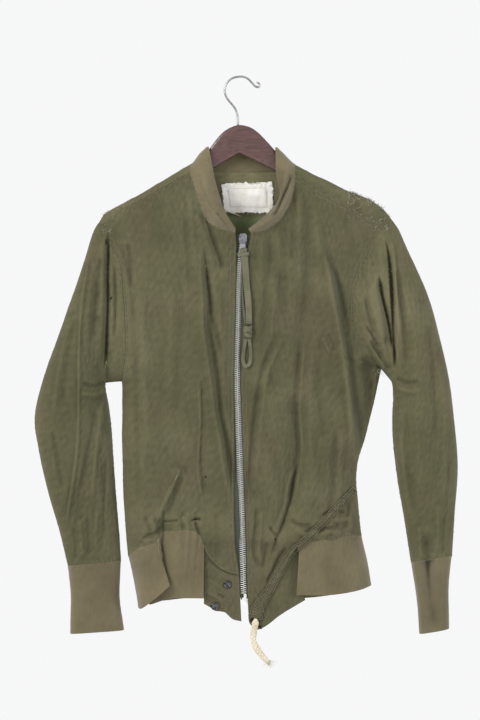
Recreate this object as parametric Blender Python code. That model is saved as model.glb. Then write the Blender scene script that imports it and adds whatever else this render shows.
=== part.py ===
"""Bomber jacket on a wooden hanger: 0.68 m across the sleeves, 0.94 m from hook to drawcord tip.

The cloth is one skin worked out from the sections, seam lines and folds in the tables below. Each
sewn piece is a patch of that skin with its own wall, and the hard trim and the hanger are set
against it. The wearer's right side is at -X, the front faces -Y. The origin is the inside of the
top of the hanger's hook, where the hook hangs. Sizes in the tables are millimetres.
"""
import math

import bmesh
import bpy
import numpy as np
from mathutils import Vector
from mathutils.bvhtree import BVHTree

MM = 0.001

# Driving dimensions, mm
CLOTH_WALL = 1.6
KNIT_WALL = 2.4
TAPE_WALL = 1.0
SEAM_GAP = 0.3
LAY_GAP = 0.45          # between a piece and the panel that it lies on
CASING_LAY = 1.1
FRONT_SIDE = -15.0      # the cloth of the front lies further forward than this
RIDGE_RADIUS = 11.0     # round-over of the cloth along the shoulders
SIDE_ROUNDNESS = 3.0    # exponent of the flattened section of body and sleeves
CHAIN_WIDTH = 8.0
CHAIN_THICK = 3.2
SNAP_DIAMETER = 13.0
HOOK_WIRE = 3.5
CORD_DIAMETER = 10.0
STRAP_DIAMETER = 5.0
WOOD_THICK = 13.0

# Cells of each panel across and down
SHOULDER_CELLS = 9
NECK_CELLS = 6
BACK_NECK_CELLS = 12
TIP_CELLS = 3
ARMHOLE_CELLS = 10
BACK_ARM_CELLS = 12
SIDE_CELLS = 11
SLEEVE_ROWS = 18


def table(columns, *rows):
    """A table's columns by name, each an array of its rows' values."""
    return dict(zip(columns.split(), np.array(rows, float).T))


# Height of the shoulder ridge at each place across
RIDGE = table("x z",
              (-240, -254), (-230, -237.5), (-216, -218), (-206, -212.5), (-179, -196.5),
              (-150, -180.5), (-123, -164.5), (-98, -149), (-78, -138), (-40, -116), (0, -105),
              (40, -113), (70, -129), (88, -138.5), (104, -148), (136, -164.5), (171, -180.5),
              (208, -196.5), (227, -208), (240, -221), (249, -236), (256, -250))

# How far the front and the back stand out, by the drop below the ridge
DEPTH = table("drop front back",
              (0, 0, 0), (12, 0.5, 0.2), (30, 3, 1.2), (70, 11, 4.5), (130, 21, 9), (220, 30, 14),
              (350, 34, 18), (560, 34, 19), (760, 32, 18))

# Left and right edge of the body's flattened section; above the armpits it runs on into the sleeves
EDGES = table("z left right",
              (-860, -160, 214), (-850, -160, 214), (-813, -167.5, 210), (-790, -171.5, 203),
              (-767, -179, 198), (-741, -182, 195.5), (-709, -184.5, 192), (-677, -186.5, 189),
              (-645, -187.5, 186.5), (-613, -188, 189.5), (-581, -188.5, 199.5),
              (-549, -188.7, 207.5), (-517, -189, 215.5), (-487, -189.5, 222),
              (-467, -193, 226.5), (-430, -206, 243), (-360, -236, 277), (-300, -262, 302),
              (-240, -290, 327), (-90, -310, 345))

# The cloth puffs out over the ribbed hem and tucks in where the hem is sewn on
PUFF = table("z out",
             (-860, -3), (-765, -3), (-748, -1.5), (-732, 3), (-712, 6), (-680, 4), (-620, 0.5),
             (-560, 0), (-90, 0))

# Half of the front opening, from the zip's middle to the cloth's edge
OPENING = table("z half", (-900, 6), (-600, 6), (-400, 6), (-350, 6), (-325, 6.1), (-300, 7),
                (-275, 9.5), (-250, 12.5), (-225, 12.5))

ZIP_LINE = table("x z",
                 (5, -240), (4.6, -262), (1.5, -290), (-1, -330), (-2.4, -394), (-4, -450),
                 (-4.2, -486), (-2.6, -552), (-0.3, -619), (2, -686), (4.2, -754), (6.6, -830),
                 (8.5, -870))

# Seam lines as seen from the front
SEAM_RIGHT_NECK = table("x z", (-8, -250), (-29, -243), (-51, -231), (-66, -195), (-80, -152))
SEAM_LEFT_NECK = table("x z", (17, -250), (32, -248), (59, -233), (78, -205), (86, -178),
                       (88.5, -161))
SEAM_RIGHT_SHOULDER = table("x z", (-80, -152), (-112, -170), (-160, -197), (-200, -222),
                            (-208, -246))
SEAM_LEFT_SHOULDER = table("x z", (88.5, -161), (118, -182), (160, -204), (200, -228),
                           (222, -246))
SEAM_BACK_NECK = table("x z face", (-80, -152, -1), (-79.5, -144, -1), (-77, -142, 1),
                       (-70, -147.5, 1), (-56, -150, 1), (-30, -151, 1), (1, -152, 1),
                       (32, -151, 1), (60, -150, 1), (78, -147.5, 1), (85.5, -142, 1),
                       (88, -147, -1), (88.5, -161, -1))
SEAM_RIGHT_ARMHOLE = table("x z", (-208, -246), (-205, -270), (-193, -296), (-187, -344),
                           (-184, -389), (-184, -445), (-189.5, -487))
SEAM_LEFT_ARMHOLE = table("x z", (222, -246), (203, -284), (188, -322), (180, -359),
                          (183.5, -397), (196, -423), (226.5, -467))
SEAM_RIGHT_ARMHOLE_BACK = table("x z", (-229.5, -237), (-214, -262), (-202, -300), (-195, -360),
                                (-190, -425), (-189.5, -487))
SEAM_LEFT_ARMHOLE_BACK = table("x z", (248.5, -235.5), (236, -262), (224, -300), (214, -360),
                               (216, -425), (226.5, -467))
SEAM_RIGHT_RIB = table("x z", (-179, -767), (-160, -752), (-134, -743), (-123, -727),
                       (-110, -726), (-80, -724), (-68, -729), (-58, -749))
SEAM_RIGHT_FLY = table("x z", (-58, -749), (-52, -762), (-42, -775), (-28, -787), (-12, -793),
                       (-0.5, -795))
SEAM_LEFT_RIB = table("x z", (194.5, -733), (168, -734), (144, -742), (134, -739), (116, -743),
                      (95, -743))
SEAM_LEFT_CASING = table("x z", (95, -743), (83, -756), (69, -779), (57, -802), (42, -826),
                         (24, -848), (12.5, -856))
BACK_HEM = table("x z", (-179, -767), (-120, -752), (0, -746), (120, -742), (194.5, -733))

# Largest folds of the front, from the front: a line of points, how far it spreads to either side
# of the line and how far it lifts out (+) or sinks in (-)
FRONT_FOLDS = [
    {"name": "collar drag", "line": [(-62, -211), (-48, -245), (-28, -315)],
     "left": 8, "right": 12, "rise": -3},
    {"name": "right front drape", "right": 16, "left": 34, "rise": 10,
     "line": [(-66, -296), (-62, -358), (-57, -410), (-48, -474), (-37, -547), (-28, -611),
              (-19, -671), (-10, -731), (-4, -794)]},
    {"name": "right side hollow", "left": 26, "right": 22, "rise": -5,
     "line": [(-140, -330), (-132, -430), (-126, -540), (-128, -640)]},
    {"name": "right front slant", "left": 12, "right": 14, "rise": 5,
     "line": [(-94, -620), (-109, -656), (-123, -685), (-132, -712)]},
    {"name": "rib pleat", "left": 9, "right": 16, "rise": -9,
     "line": [(-122, -700), (-123, -727), (-116, -757), (-109, -794), (-108, -850)]},
    {"name": "left front soft fold", "left": 16, "right": 16, "rise": -6,
     "line": [(97, -225), (104, -290), (104, -346), (97, -430), (92, -500)]},
    {"name": "left front inner fold", "left": 13, "right": 13, "rise": -4,
     "line": [(68, -290), (68, -360), (60, -440), (52, -520)]},
    {"name": "left side ridge", "left": 36, "right": 12, "rise": 13,
     "line": [(137, -283), (147, -334), (157, -384), (168, -435), (176, -499), (181, -576),
              (183, -626)]},
    {"name": "left side hollow", "left": 12, "right": 16, "rise": -12,
     "line": [(196, -440), (204, -499), (197, -565), (189, -613)]},
    {"name": "left zip hollow", "left": 14, "right": 15, "rise": -5,
     "line": [(32, -480), (24, -560), (17, -640), (13, -690)]},
    {"name": "left hem hollow", "left": 15, "right": 15, "rise": -9,
     "line": [(91, -500), (91, -590), (84, -650), (71, -702), (57, -745)]},
]

# The back hangs flatter, with like folds of its own
BACK_FOLDS = [
    {"name": "back right fold", "left": 26, "right": 22, "rise": -7,
     "line": [(-118, -300), (-112, -420), (-108, -560), (-112, -690)]},
    {"name": "back centre right", "left": 20, "right": 28, "rise": 5,
     "line": [(-58, -330), (-50, -450), (-44, -580), (-46, -700)]},
    {"name": "back centre hollow", "left": 24, "right": 20, "rise": -5,
     "line": [(4, -260), (2, -400), (8, -560), (6, -690)]},
    {"name": "back left fold", "left": 30, "right": 18, "rise": 7,
     "line": [(70, -320), (82, -440), (88, -570), (84, -700)]},
    {"name": "back left side", "left": 16, "right": 20, "rise": -8,
     "line": [(150, -330), (156, -450), (150, -580), (140, -690)]},
]

# Sleeve sections from armhole to cuff: outer and inner edge from the front, front and back depth
RIGHT_SLEEVE = table("outer_x outer_z inner_x inner_z front back",
                     (-230, -238, -189.5, -487, 30, 22), (-236, -250, -213, -489, 36, 26),
                     (-249, -292, -216, -494, 40, 28), (-271, -358, -215, -505, 40, 29),
                     (-296, -428, -211, -526, 39, 29), (-318, -492, -207, -560, 38, 29),
                     (-329, -546, -204, -604, 36, 28), (-322, -600, -201, -648, 33, 27),
                     (-306, -670, -197, -698, 30, 25), (-289, -728, -193.5, -740, 27, 23),
                     (-276, -782, -191.5, -774, 24, 20))
LEFT_SLEEVE = table("outer_x outer_z inner_x inner_z front back",
                    (249, -236, 226.5, -467, 30, 22), (256, -247, 243, -487, 36, 26),
                    (266, -270, 247, -493, 40, 28), (282, -306, 247, -502, 40, 29),
                    (302, -352, 246.5, -516, 39, 29), (321, -421, 245, -538, 38, 29),
                    (334, -478, 245, -566, 37, 29), (343, -547, 248, -604, 34, 28),
                    (349, -622, 254, -650, 31, 26), (344, -700, 264, -708, 28, 23),
                    (340, -766, 274.5, -776, 24, 20))

RIGHT_SLEEVE_FOLDS = [
    {"name": "underarm crease", "left": 10, "right": 12, "rise": -13,
     "line": [(-214, -272), (-211, -317), (-210, -356), (-213, -421), (-217, -470)]},
    {"name": "sleeve ridge", "left": 22, "right": 16, "rise": 6,
     "line": [(-243, -294), (-253, -345), (-258, -395), (-252, -470), (-253, -540), (-261, -610),
              (-270, -660), (-281, -722)]},
    {"name": "inner drape", "left": 10, "right": 10, "rise": -5,
     "line": [(-229, -366), (-223, -411), (-219, -467), (-222, -540)]},
]
LEFT_SLEEVE_FOLDS = [
    {"name": "underarm crease", "left": 9, "right": 9, "rise": -11,
     "line": [(237, -272), (241, -322), (242, -380), (245, -427)]},
    {"name": "cap crease", "left": 8, "right": 8, "rise": -6,
     "line": [(222, -322), (228, -357), (237, -397), (242, -434)]},
    {"name": "sleeve ridge", "left": 12, "right": 24, "rise": 7,
     "line": [(258, -290), (266, -350), (280, -402), (281, -462), (284, -530), (288, -640),
              (293, -701)]},
    {"name": "cuff fold", "left": 8, "right": 9, "rise": -9,
     "line": [(297, -722), (300, -775), (305, -830), (313, -888)]},
]

# Cuffs: lower edge sections like the sleeves', from just under the seam to the open end
RIGHT_CUFF = table("outer_x outer_z inner_x inner_z front back",
                   (-273, -797, -193, -794, 22, 18), (-271, -830, -193.5, -832, 20, 17),
                   (-272, -862, -189, -864, 20, 17), (-272.5, -892, -186, -886, 20, 17))
LEFT_CUFF = table("outer_x outer_z inner_x inner_z front back",
                  (336, -786, 279, -800, 23, 18), (334, -820, 283, -832, 22, 17),
                  (335, -855, 286, -865, 22, 17), (335, -884, 288, -892, 22, 17))

# Collar band: share of the neck seam from the right front end, its crest and its free edge
COLLAR = table("share crest_x crest_y crest_z edge_x edge_y edge_z",
               (0, -7.5, -42, -247, -6, -39, -243), (0.05, -25, -42, -234, -19, -38, -224),
               (0.10, -40, -38, -221, -27, -32, -207), (0.185, -51, -29, -189, -35, -25, -181),
               (0.25, -59, -23, -161, -41, -19, -158), (0.285, -63, -18, -144, -45, -15.5, -137),
               (0.305, -66, -13, -132, -49.5, -12.5, -114.5),
               (0.335, -67, -1, -124, -53, -1, -110.5), (0.365, -63, 11, -127, -56, 10.5, -113),
               (0.42, -38, 16, -134, -37, 13.5, -118), (0.487, 1, 16.5, -136, 1, 14, -120),
               (0.57, 42, 16, -134, 40, 13.5, -118), (0.645, 70, 11, -128, 61, 10.5, -113),
               (0.675, 74, -1, -125, 59, -1, -110.5), (0.70, 76, -13, -133, 57, -12.5, -114.5),
               (0.72, 80, -18, -146, 57, -15.5, -134), (0.75, 82, -22, -162, 57.5, -17, -153),
               (0.82, 74, -33, -197, 63, -23, -188), (0.905, 53, -42, -223, 46, -32, -215),
               (0.95, 38, -44, -235, 32, -36, -229), (1, 15, -42, -247, 13, -39, -243))

# Ribbed hem: share of its seam from the right front end, and its lower edge with the pleat
HEM = table("share x y z",
            (0, -58, -44, -833), (0.05, -86, -42, -833), (0.10, -118, -36, -835),
            (0.125, -145, -27, -843), (0.150, -112, -49, -813), (0.175, -134, -52, -832),
            (0.2, -156, -44, -848), (0.225, -163, -16, -850), (0.25, -158, 10, -846),
            (0.32, -110, 27, -839), (0.52, 10, 29, -836), (0.70, 130, 28, -834),
            (0.79, 190, 18, -822), (0.825, 211, -6, -814), (0.86, 196, -32, -819),
            (0.92, 152, -42, -827), (1, 90, -45, -828))

# Tail below the casing at the left front, and the tab with the snaps at the right front
TAIL_LOW = table("x z", (29, -883), (38, -879), (64, -860), (104, -836))
TAIL_ZIP = table("x z", (12.5, -856), (16, -874), (29, -883))
TAB_LOW = table("x z", (-57, -842), (-47, -848), (-40, -853), (-32, -854), (-26, -855),
                (-11, -867), (1, -870))
TAB_TOP = table("x z", (-57.6, -742), (-50, -757), (-40, -770), (-27, -781), (-12, -787),
                (0, -789))
TAB_FOLD = [{"name": "turned edge", "left": 10, "right": 4, "rise": -2.2,
             "line": [(-62, -826), (-42, -836), (-31, -850), (-24, -860)]}]

CASING_LINE = table("x z half",
                    (184, -659, 5.5), (164, -678, 6), (142, -701, 6), (120, -724, 6),
                    (101, -742, 6), (85, -757, 6), (69, -780, 6), (57, -802, 6.5),
                    (43, -826, 8), (32, -842, 9.5))

SNAPS = {"snap_upper": (-19.8, -811), "snap_lower": (-40, -846)}

LABEL = table("x z", (-30, -169.6), (51, -167.2), (54, -216), (-24, -214.4))

HANGER_TOP = table("x z",
                   (-192, -217), (-180, -206), (-150, -188.5), (-123, -174), (-98, -161.5),
                   (-84, -155), (-70, -142), (-57, -125), (-50, -115), (-26, -88), (-3, -75.5),
                   (20, -84), (55, -115), (62, -125), (76, -144), (90, -156), (104, -161.5),
                   (136, -174.5), (171, -190), (200, -205), (212, -216.5))
HANGER_LOW = table("x z",
                   (-192, -228), (-150, -210), (-98, -182), (-43, -145), (-1, -121),
                   (54, -148), (104, -180), (171, -210), (212, -228))
HOOK_PATH = [(-3.2, -75.3), (-3.8, -62), (-6, -53), (-12.5, -43), (-19, -35.5), (-23.4, -27),
             (-24.4, -19), (-21.7, -9.5), (-14, -1.5), (-3, 1.8), (6, 1.6), (13.3, -2),
             (19.5, -8.3), (25.2, -14), (30, -14.6), (31, -10), (26, -6.4)]

# Slider, pull tab, strap and cord
SLIDER_TOP_Z = -251.0
SLIDER_LENGTH = 19.0
SLIDER_WIDTH = 12.0
SLIDER_THICK = 6.4
ARCH_WIDTH = 2.8
ARCH_INSIDE = 3.4
ARCH_BAR = 1.8
ARCH_HALF = 3.2
TAB_WIDTH = 8.0
TAB_THICK = 1.4
TAB_REACH = 19.0
TAB_BAR = 0.9
ARCH_DROP = 9.5
STRAP_LAY = 0.8
STRAP_RIGHT = [(2.6, -282.6), (3.4, -320), (5.6, -365), (9.5, -396)]
STRAP_LEFT = [(9.6, -282.6), (12.9, -330), (16.4, -370), (15.4, -396)]
STRAP_LOOP = [(9.0, -419), (6.2, -438), (5, -455), (8.5, -462.5), (14, -460), (16.6, -449),
              (14.6, -419)]
KNOT = (12.4, -407.5)
KNOT_RADII = (7.6, 5.4, 8)
TAPE_TUCK = 9.0
TAPE_SHOW = 1.7
TAPE_LAY = 1.6
TAPE_END = {"right": -782, "left": -834.9}
ZIP_FOOT = -835.2
BOX_X = 8.2
BOX_SIZE = (8.2, 8)
BOX_PIN = (4.4, 8.4)
BOX_THICK = 4.4
CORD_PATH = [(25, -45.6, -865), (24, -46.5, -874), (22.5, -48, -885), (21, -49, -897),
             (23.5, -49.5, -907), (30, -49.5, -917), (38, -49, -927), (44.5, -48.5, -934)]

COLOURS = {
    "cloth": ((0.125, 0.117, 0.066), 0.9, 0.0), "knit": ((0.185, 0.155, 0.093), 0.95, 0.0),
    "metal": ((0.62, 0.6, 0.56), 0.35, 1.0), "dark metal": ((0.03, 0.03, 0.034), 0.4, 1.0),
    "canvas": ((0.77, 0.75, 0.70), 0.9, 0.0), "cord": ((0.74, 0.68, 0.53), 0.9, 0.0),
    "wood": ((0.085, 0.03, 0.03), 0.25, 0.0), "steel": ((0.6, 0.6, 0.6), 0.25, 1.0),
}


def read(at, values, where):
    """Values held at the places `at`, joined by a smooth curve and read at each `where`."""
    at = np.asarray(at, float)
    values = np.asarray(values, float)
    where = np.clip(where, at[0], at[-1])
    slopes = np.gradient(values, at, axis=0)
    i = np.clip(np.searchsorted(at, where, side="right") - 1, 0, len(at) - 2)
    step = at[i + 1] - at[i]
    s = (where - at[i]) / step
    if values.ndim > 1:
        s = s[..., None]
        step = step[..., None]
    return ((2 * s**3 - 3 * s**2 + 1) * values[i] + (s**3 - 2 * s**2 + s) * step * slopes[i]
            + (3 * s**2 - 2 * s**3) * values[i + 1] + (s**3 - s**2) * step * slopes[i + 1])


def along(points):
    """Share of a line's length at each of its points."""
    steps = np.linalg.norm(np.diff(points, axis=0), axis=1)
    return np.concatenate([[0], np.cumsum(steps)]) / steps.sum()


def smooth(points, cells):
    """Smooth curve through the points, at cells + 1 places evenly apart."""
    points = np.asarray(points, float)
    dense = read(along(points), points, np.linspace(0, 1, 20 * len(points)))
    share = np.linspace(0, 1, cells + 1)
    at = along(dense)
    return np.stack([np.interp(share, at, dense[:, k]) for k in range(dense.shape[1])], 1)


def seam(line, cells):
    """A seam table's curve as (x, z) points."""
    return smooth(np.stack([line["x"], line["z"]], 1), cells)


def section_table():
    """Flattened section: place across (-1 to 1) and depth (0 to 1) by the share of its length."""
    angle = np.linspace(-math.pi / 2, math.pi / 2, 6001)
    power = 2 / SIDE_ROUNDNESS
    across = np.sign(angle) * np.abs(np.sin(angle)) ** power
    deep = np.abs(np.cos(angle)) ** power
    share = along(np.stack([across, 0.25 * deep], 1)) * 2 - 1
    return share, across, deep


SECTION = section_table()


def across(q):
    return np.interp(q, SECTION[0], SECTION[1])


def deep(q):
    return np.interp(q, SECTION[0], SECTION[2])


def fold_rise(x, z, folds):
    """Sum of what the folds lift the cloth at each point seen from the front."""
    total = np.zeros_like(x)
    for fold in folds:
        line = smooth(fold["line"], 24)
        share = np.linspace(0, 1, len(line))
        dx = x[..., None] - line[:, 0]
        dz = z[..., None] - line[:, 1]
        near = np.argmin(dx**2 + dz**2, axis=-1)
        gap = np.sqrt(np.min(dx**2 + dz**2, axis=-1))
        side = np.take_along_axis(dx, near[..., None], -1)[..., 0]
        width = np.where(side < 0, fold["left"], fold["right"])
        end = np.minimum(share[near], 1 - share[near])
        fade = np.clip(end / 0.16, 0, 1)
        total += fold["rise"] * fade * fade * (3 - 2 * fade) * np.exp(-(gap / width) ** 2)
    return total


def over_ridge(w):
    """Drop and stand-off at the distance w along the cloth from the ridge."""
    quarter = RIDGE_RADIUS * math.pi / 2
    angle = np.minimum(np.abs(w), quarter) / RIDGE_RADIUS
    drop = RIDGE_RADIUS * (1 - np.cos(angle)) + np.maximum(np.abs(w) - quarter, 0)
    return drop, RIDGE_RADIUS * np.sin(angle)


def middle_and_half(z):
    left = read(EDGES["z"], EDGES["left"], z)
    right = read(EDGES["z"], EDGES["right"], z)
    return (left + right) / 2, (right - left) / 2


def skin(q, w):
    """Point on the body's skin: q across the section, w down the back (+) or the front (-)."""
    drop, out = over_ridge(w)
    x = 220 * across(q)
    for _ in range(30):
        z = read(RIDGE["x"], RIDGE["z"], x) - drop
        middle, half = middle_and_half(z)
        x = middle + half * across(q)
    front = out + read(DEPTH["drop"], DEPTH["front"], drop) + read(PUFF["z"], PUFF["out"], z)
    back = out + read(DEPTH["drop"], DEPTH["back"], drop) + read(PUFF["z"], PUFF["out"], z)
    lean = np.minimum(1, 1.6 * deep(q)) * np.clip(drop / 40, 0, 1)
    front = front * deep(q) + lean * fold_rise(x, z, FRONT_FOLDS)
    back = back * deep(q) + lean * fold_rise(x, z, BACK_FOLDS)
    return np.stack([x, np.where(w < 0, -front, back), z], -1)


def place(line, face, cells=None, edge=0):
    """Seam points as (q, w) places on the skin; edge -1 or 1 pins them to the body's side."""
    points = seam(line, cells) if cells else np.asarray(line, float)
    x, z = points[:, 0], points[:, 1]
    middle, half = middle_and_half(z)
    q = np.full(len(x), float(edge)) if edge else np.interp((x - middle) / half,
                                                            SECTION[1], SECTION[0])
    drop = np.maximum(read(RIDGE["x"], RIDGE["z"], x) - z, 0)
    quarter = RIDGE_RADIUS * math.pi / 2
    turn = RIDGE_RADIUS * np.arccos(np.clip(1 - drop / RIDGE_RADIUS, 0, 1))
    w = np.where(drop < RIDGE_RADIUS, turn, quarter + drop - RIDGE_RADIUS)
    return np.stack([q, face * w], 1)


def patch(top, low, left, right):
    """Grid filled in between four edge lines that share their corners.

    The bend of the two side lines dies out quickly towards the middle of the piece.
    """
    u = np.linspace(0, 1, len(top))[None, :, None]
    v = sum((side[:, 1] - side[0, 1]) / (side[-1, 1] - side[0, 1]) for side in (left, right)) / 2
    v = v[:, None, None]
    bend_left = left[:, None] - (1 - v) * left[0] - v * left[-1]
    bend_right = right[:, None] - (1 - v) * right[0] - v * right[-1]
    return (1 - v) * top[None] + v * low[None] + (1 - u)**3 * bend_left + u**3 * bend_right


def joined(*lines):
    """Lines end to end, with the shared points once."""
    return np.concatenate([lines[0]] + [line[1:] for line in lines[1:]])


def side_line(top, low, edge, cells):
    """Side seam from armpit to hem on the body's edge, as (q, w) of the front."""
    z = np.linspace(top, low, cells + 1)
    middle, half = middle_and_half(z)
    return place(np.stack([middle + edge * half, z], 1), -1, edge=edge)


def body_grids():
    """The two fronts and the back as grids of skin points, and the seam lines between them."""
    right_arm = place(SEAM_RIGHT_ARMHOLE, -1, ARMHOLE_CELLS)
    left_arm = place(SEAM_LEFT_ARMHOLE, -1, ARMHOLE_CELLS)
    right_arm[-1, 0], left_arm[-1, 0] = -1, 1
    right_side = side_line(-487, -767, -1, SIDE_CELLS)
    left_side = side_line(-467, -733, 1, SIDE_CELLS)
    right_arm[-1], left_arm[-1] = right_side[0], left_side[0]

    right_shoulder = place(SEAM_RIGHT_SHOULDER, -1, SHOULDER_CELLS)
    left_shoulder = place(SEAM_LEFT_SHOULDER, -1, SHOULDER_CELLS)
    right_arm[0], left_arm[0] = right_shoulder[-1], left_shoulder[-1]
    right_neck = place(SEAM_RIGHT_NECK, -1, NECK_CELLS)
    left_neck = place(SEAM_LEFT_NECK, -1, NECK_CELLS)
    right_neck[-1], left_neck[-1] = right_shoulder[0], left_shoulder[0]

    rib_cells = 9
    fly_cells = NECK_CELLS + SHOULDER_CELLS - rib_cells
    right_low = joined(place(SEAM_RIGHT_RIB, -1, rib_cells), place(SEAM_RIGHT_FLY, -1, fly_cells))
    left_low = joined(place(SEAM_LEFT_RIB, -1, fly_cells + 2),
                      place(SEAM_LEFT_CASING, -1, rib_cells - 2))
    right_low[0], left_low[0] = right_side[-1], left_side[-1]

    rows = ARMHOLE_CELLS + SIDE_CELLS
    right_zip = place(zip_edge(-250, -795, -1, rows), -1)
    left_zip = place(zip_edge(-250, -856, 1, rows), -1)
    right_neck[0], left_neck[0] = right_zip[0], left_zip[0]
    right_low[-1], left_low[-1] = right_zip[-1], left_zip[-1]

    front_right = skin(*np.moveaxis(patch(joined(right_shoulder[::-1], right_neck[::-1]),
                                          right_low, joined(right_arm, right_side),
                                          right_zip), -1, 0))
    front_left = skin(*np.moveaxis(patch(joined(left_neck, left_shoulder), left_low[::-1],
                                         left_zip, joined(left_arm, left_side)), -1, 0))

    back_side_right = right_side * (1, -1)
    back_side_left = left_side * (1, -1)
    right_back = joined(back_arm_line(SEAM_RIGHT_ARMHOLE_BACK, right_shoulder[-1]),
                        back_side_right)
    left_back = joined(back_arm_line(SEAM_LEFT_ARMHOLE_BACK, left_shoulder[-1]), back_side_left)
    right_back[TIP_CELLS + BACK_ARM_CELLS] = back_side_right[0]
    left_back[TIP_CELLS + BACK_ARM_CELLS] = back_side_left[0]
    neck = back_neck_line()
    neck[0], neck[-1] = right_shoulder[0], left_shoulder[0]
    hem = place(BACK_HEM, 1, 2 * SHOULDER_CELLS + BACK_NECK_CELLS)
    hem[0], hem[-1] = back_side_right[-1], back_side_left[-1]
    back = skin(*np.moveaxis(patch(joined(right_shoulder[::-1], neck, left_shoulder), hem,
                                   right_back, left_back), -1, 0))
    return {"front_right": front_right, "front_left": front_left, "back": back}, rib_cells


def back_arm_line(line, start):
    """Armhole of the back piece: from the front shoulder seam over the tip, then down the back."""
    dense = place(line, 1, 400)
    dense[0, 1] = 0
    share = (np.arange(BACK_ARM_CELLS + 1) / BACK_ARM_CELLS) ** 1.35
    at = np.linspace(0, 1, len(dense))
    down = np.stack([np.interp(share, at, dense[:, k]) for k in (0, 1)], 1)
    over = smooth([start * (100, 1), down[0] * (100, 1)], TIP_CELLS) / (100, 1)
    return joined(over, down)


def back_neck_line():
    """Neck seam of the back piece, from the front of one shoulder over to the other."""
    line = np.stack([SEAM_BACK_NECK["x"], SEAM_BACK_NECK["z"]], 1)
    places = smooth(place(line, SEAM_BACK_NECK["face"]) * (100, 1), 400) / (100, 1)
    even = np.arange(BACK_NECK_CELLS + 1) / BACK_NECK_CELLS
    share = 0.6 * even + 0.2 * (1 - np.cos(math.pi * even))
    at = np.linspace(0, 1, len(places))
    return np.stack([np.interp(share, at, places[:, k]) for k in (0, 1)], 1)


def zip_middle(z):
    return read(-ZIP_LINE["z"], ZIP_LINE["x"], -np.asarray(z, float))


def zip_edge(top, low, side, cells):
    """Front edge of the cloth beside the zip, from the neck down, as (x, z)."""
    z = np.linspace(top, low, cells + 1)
    half = read(OPENING["z"], OPENING["half"], z)
    return np.stack([zip_middle(z) + side * half, z], 1)


def ring_half(row, face, q, folds):
    """Half of a flattened ring: outer edge to inner edge over the front (-1) or the back (1)."""
    outer = np.array([row["outer_x"], row["outer_z"]])
    inner = np.array([row["inner_x"], row["inner_z"]])
    flat = (outer + inner) / 2 + across(q)[:, None] * (inner - outer) / 2
    depth = row["front"] if face < 0 else row["back"]
    y = depth * deep(q)
    y = y + np.minimum(1, 1.6 * deep(q)) * (fold_rise(flat[:, 0], flat[:, 1], folds)
                                            if face < 0 else 0)
    return np.stack([flat[:, 0], face * y, flat[:, 1]], 1)


def tube_half(sections, start, face, rows, folds, blend):
    """Half tube whose first ring is the line `start` and which takes on its sections below."""
    names = ("outer_x", "outer_z", "inner_x", "inner_z", "front", "back")
    places = np.stack([sections[name] for name in names], 1)
    at = along(places[:, :4])
    even = np.linspace(-1, 1, len(start))
    sewn = 2 * along(start) - 1
    rings = []
    v = np.linspace(0, 1, rows + 1)
    keep = np.clip(1 - v / blend, 0, 1) ** 2
    for share, hold in zip(v, keep):
        row = dict(zip(names, read(at, places, np.array([share]))[0]))
        rings.append(ring_half(row, face, even + hold * (sewn - even), folds))
    rings = np.array(rings)
    return rings + keep[:, None, None] * (start - rings[0])[None]


def sleeve_grids(grids, side):
    """Sleeve halves and cuff of one side; side -1 is the wearer's right."""
    name = "right" if side < 0 else "left"
    sections = RIGHT_SLEEVE if side < 0 else LEFT_SLEEVE
    cuff = RIGHT_CUFF if side < 0 else LEFT_CUFF
    folds = RIGHT_SLEEVE_FOLDS if side < 0 else LEFT_SLEEVE_FOLDS
    column = 0 if side < 0 else -1
    back_edge = grids["back"][:, column]
    front_edge = grids["front_" + name][:, column]
    tip = TIP_CELLS
    front_line = np.concatenate([back_edge[tip:0:-1], front_edge[:ARMHOLE_CELLS + 1]])
    back_line = back_edge[tip:tip + BACK_ARM_CELLS + 1]
    for half, line, face in (("front", front_line, -1), ("back", back_line, 1)):
        grid = tube_half(sections, line, face, SLEEVE_ROWS, folds, 0.34)
        grids["sleeve_%s_%s" % (name, half)] = grid
    ring = joined(grids["sleeve_%s_front" % name][-1], grids["sleeve_%s_back" % name][-1][::-1])
    cells = len(front_line) - 1
    halves = [tube_half(cuff, part, face, 4, folds, 0.7)
              for part, face in ((ring[:cells + 1], -1), (ring[cells:][::-1], 1))]
    grids["cuff_" + name] = np.concatenate([halves[0], halves[1][:, ::-1][:, 1:]], axis=1)


def collar_grid(grids):
    """Collar band from the neck seam over its crest to the free edge."""
    right = grids["front_right"][0][SHOULDER_CELLS:][::-1]
    back = grids["back"][0][SHOULDER_CELLS:SHOULDER_CELLS + BACK_NECK_CELLS + 1]
    left = grids["front_left"][0][:NECK_CELLS + 1][::-1]
    base = joined(right, back, left)
    share = along(base)
    crest = np.stack([read(COLLAR["share"], COLLAR["crest_" + axis], share)
                      for axis in "xyz"], 1)
    edge = np.stack([read(COLLAR["share"], COLLAR["edge_" + axis], share) for axis in "xyz"], 1)
    rows = [smooth([base[k], crest[k], edge[k]], 5) for k in range(len(base))]
    return np.moveaxis(np.array(rows), 0, 1)


def halved(line):
    """The line with a point added in the middle of each of its cells."""
    out = np.empty((2 * len(line) - 1, 3))
    out[::2] = line
    out[1::2] = (line[1:] + line[:-1]) / 2
    return out


def hem_grid(grids, rib_cells):
    """Ribbed hem from its seam with the body to its lower edge."""
    right = grids["front_right"][-1][:rib_cells + 1][::-1]
    back = grids["back"][-1]
    left_cells = NECK_CELLS + SHOULDER_CELLS - rib_cells + 2
    left = grids["front_left"][-1][::-1][:left_cells + 1]
    top = joined(halved(right), back, left)
    share = along(top)
    low = np.stack([read(HEM["share"], HEM[axis], share) for axis in "xyz"], 1)
    v = np.array([0, 0.2, 0.45, 0.72, 1])[:, None, None]
    return top[None] * (1 - v) + low[None] * v


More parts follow.
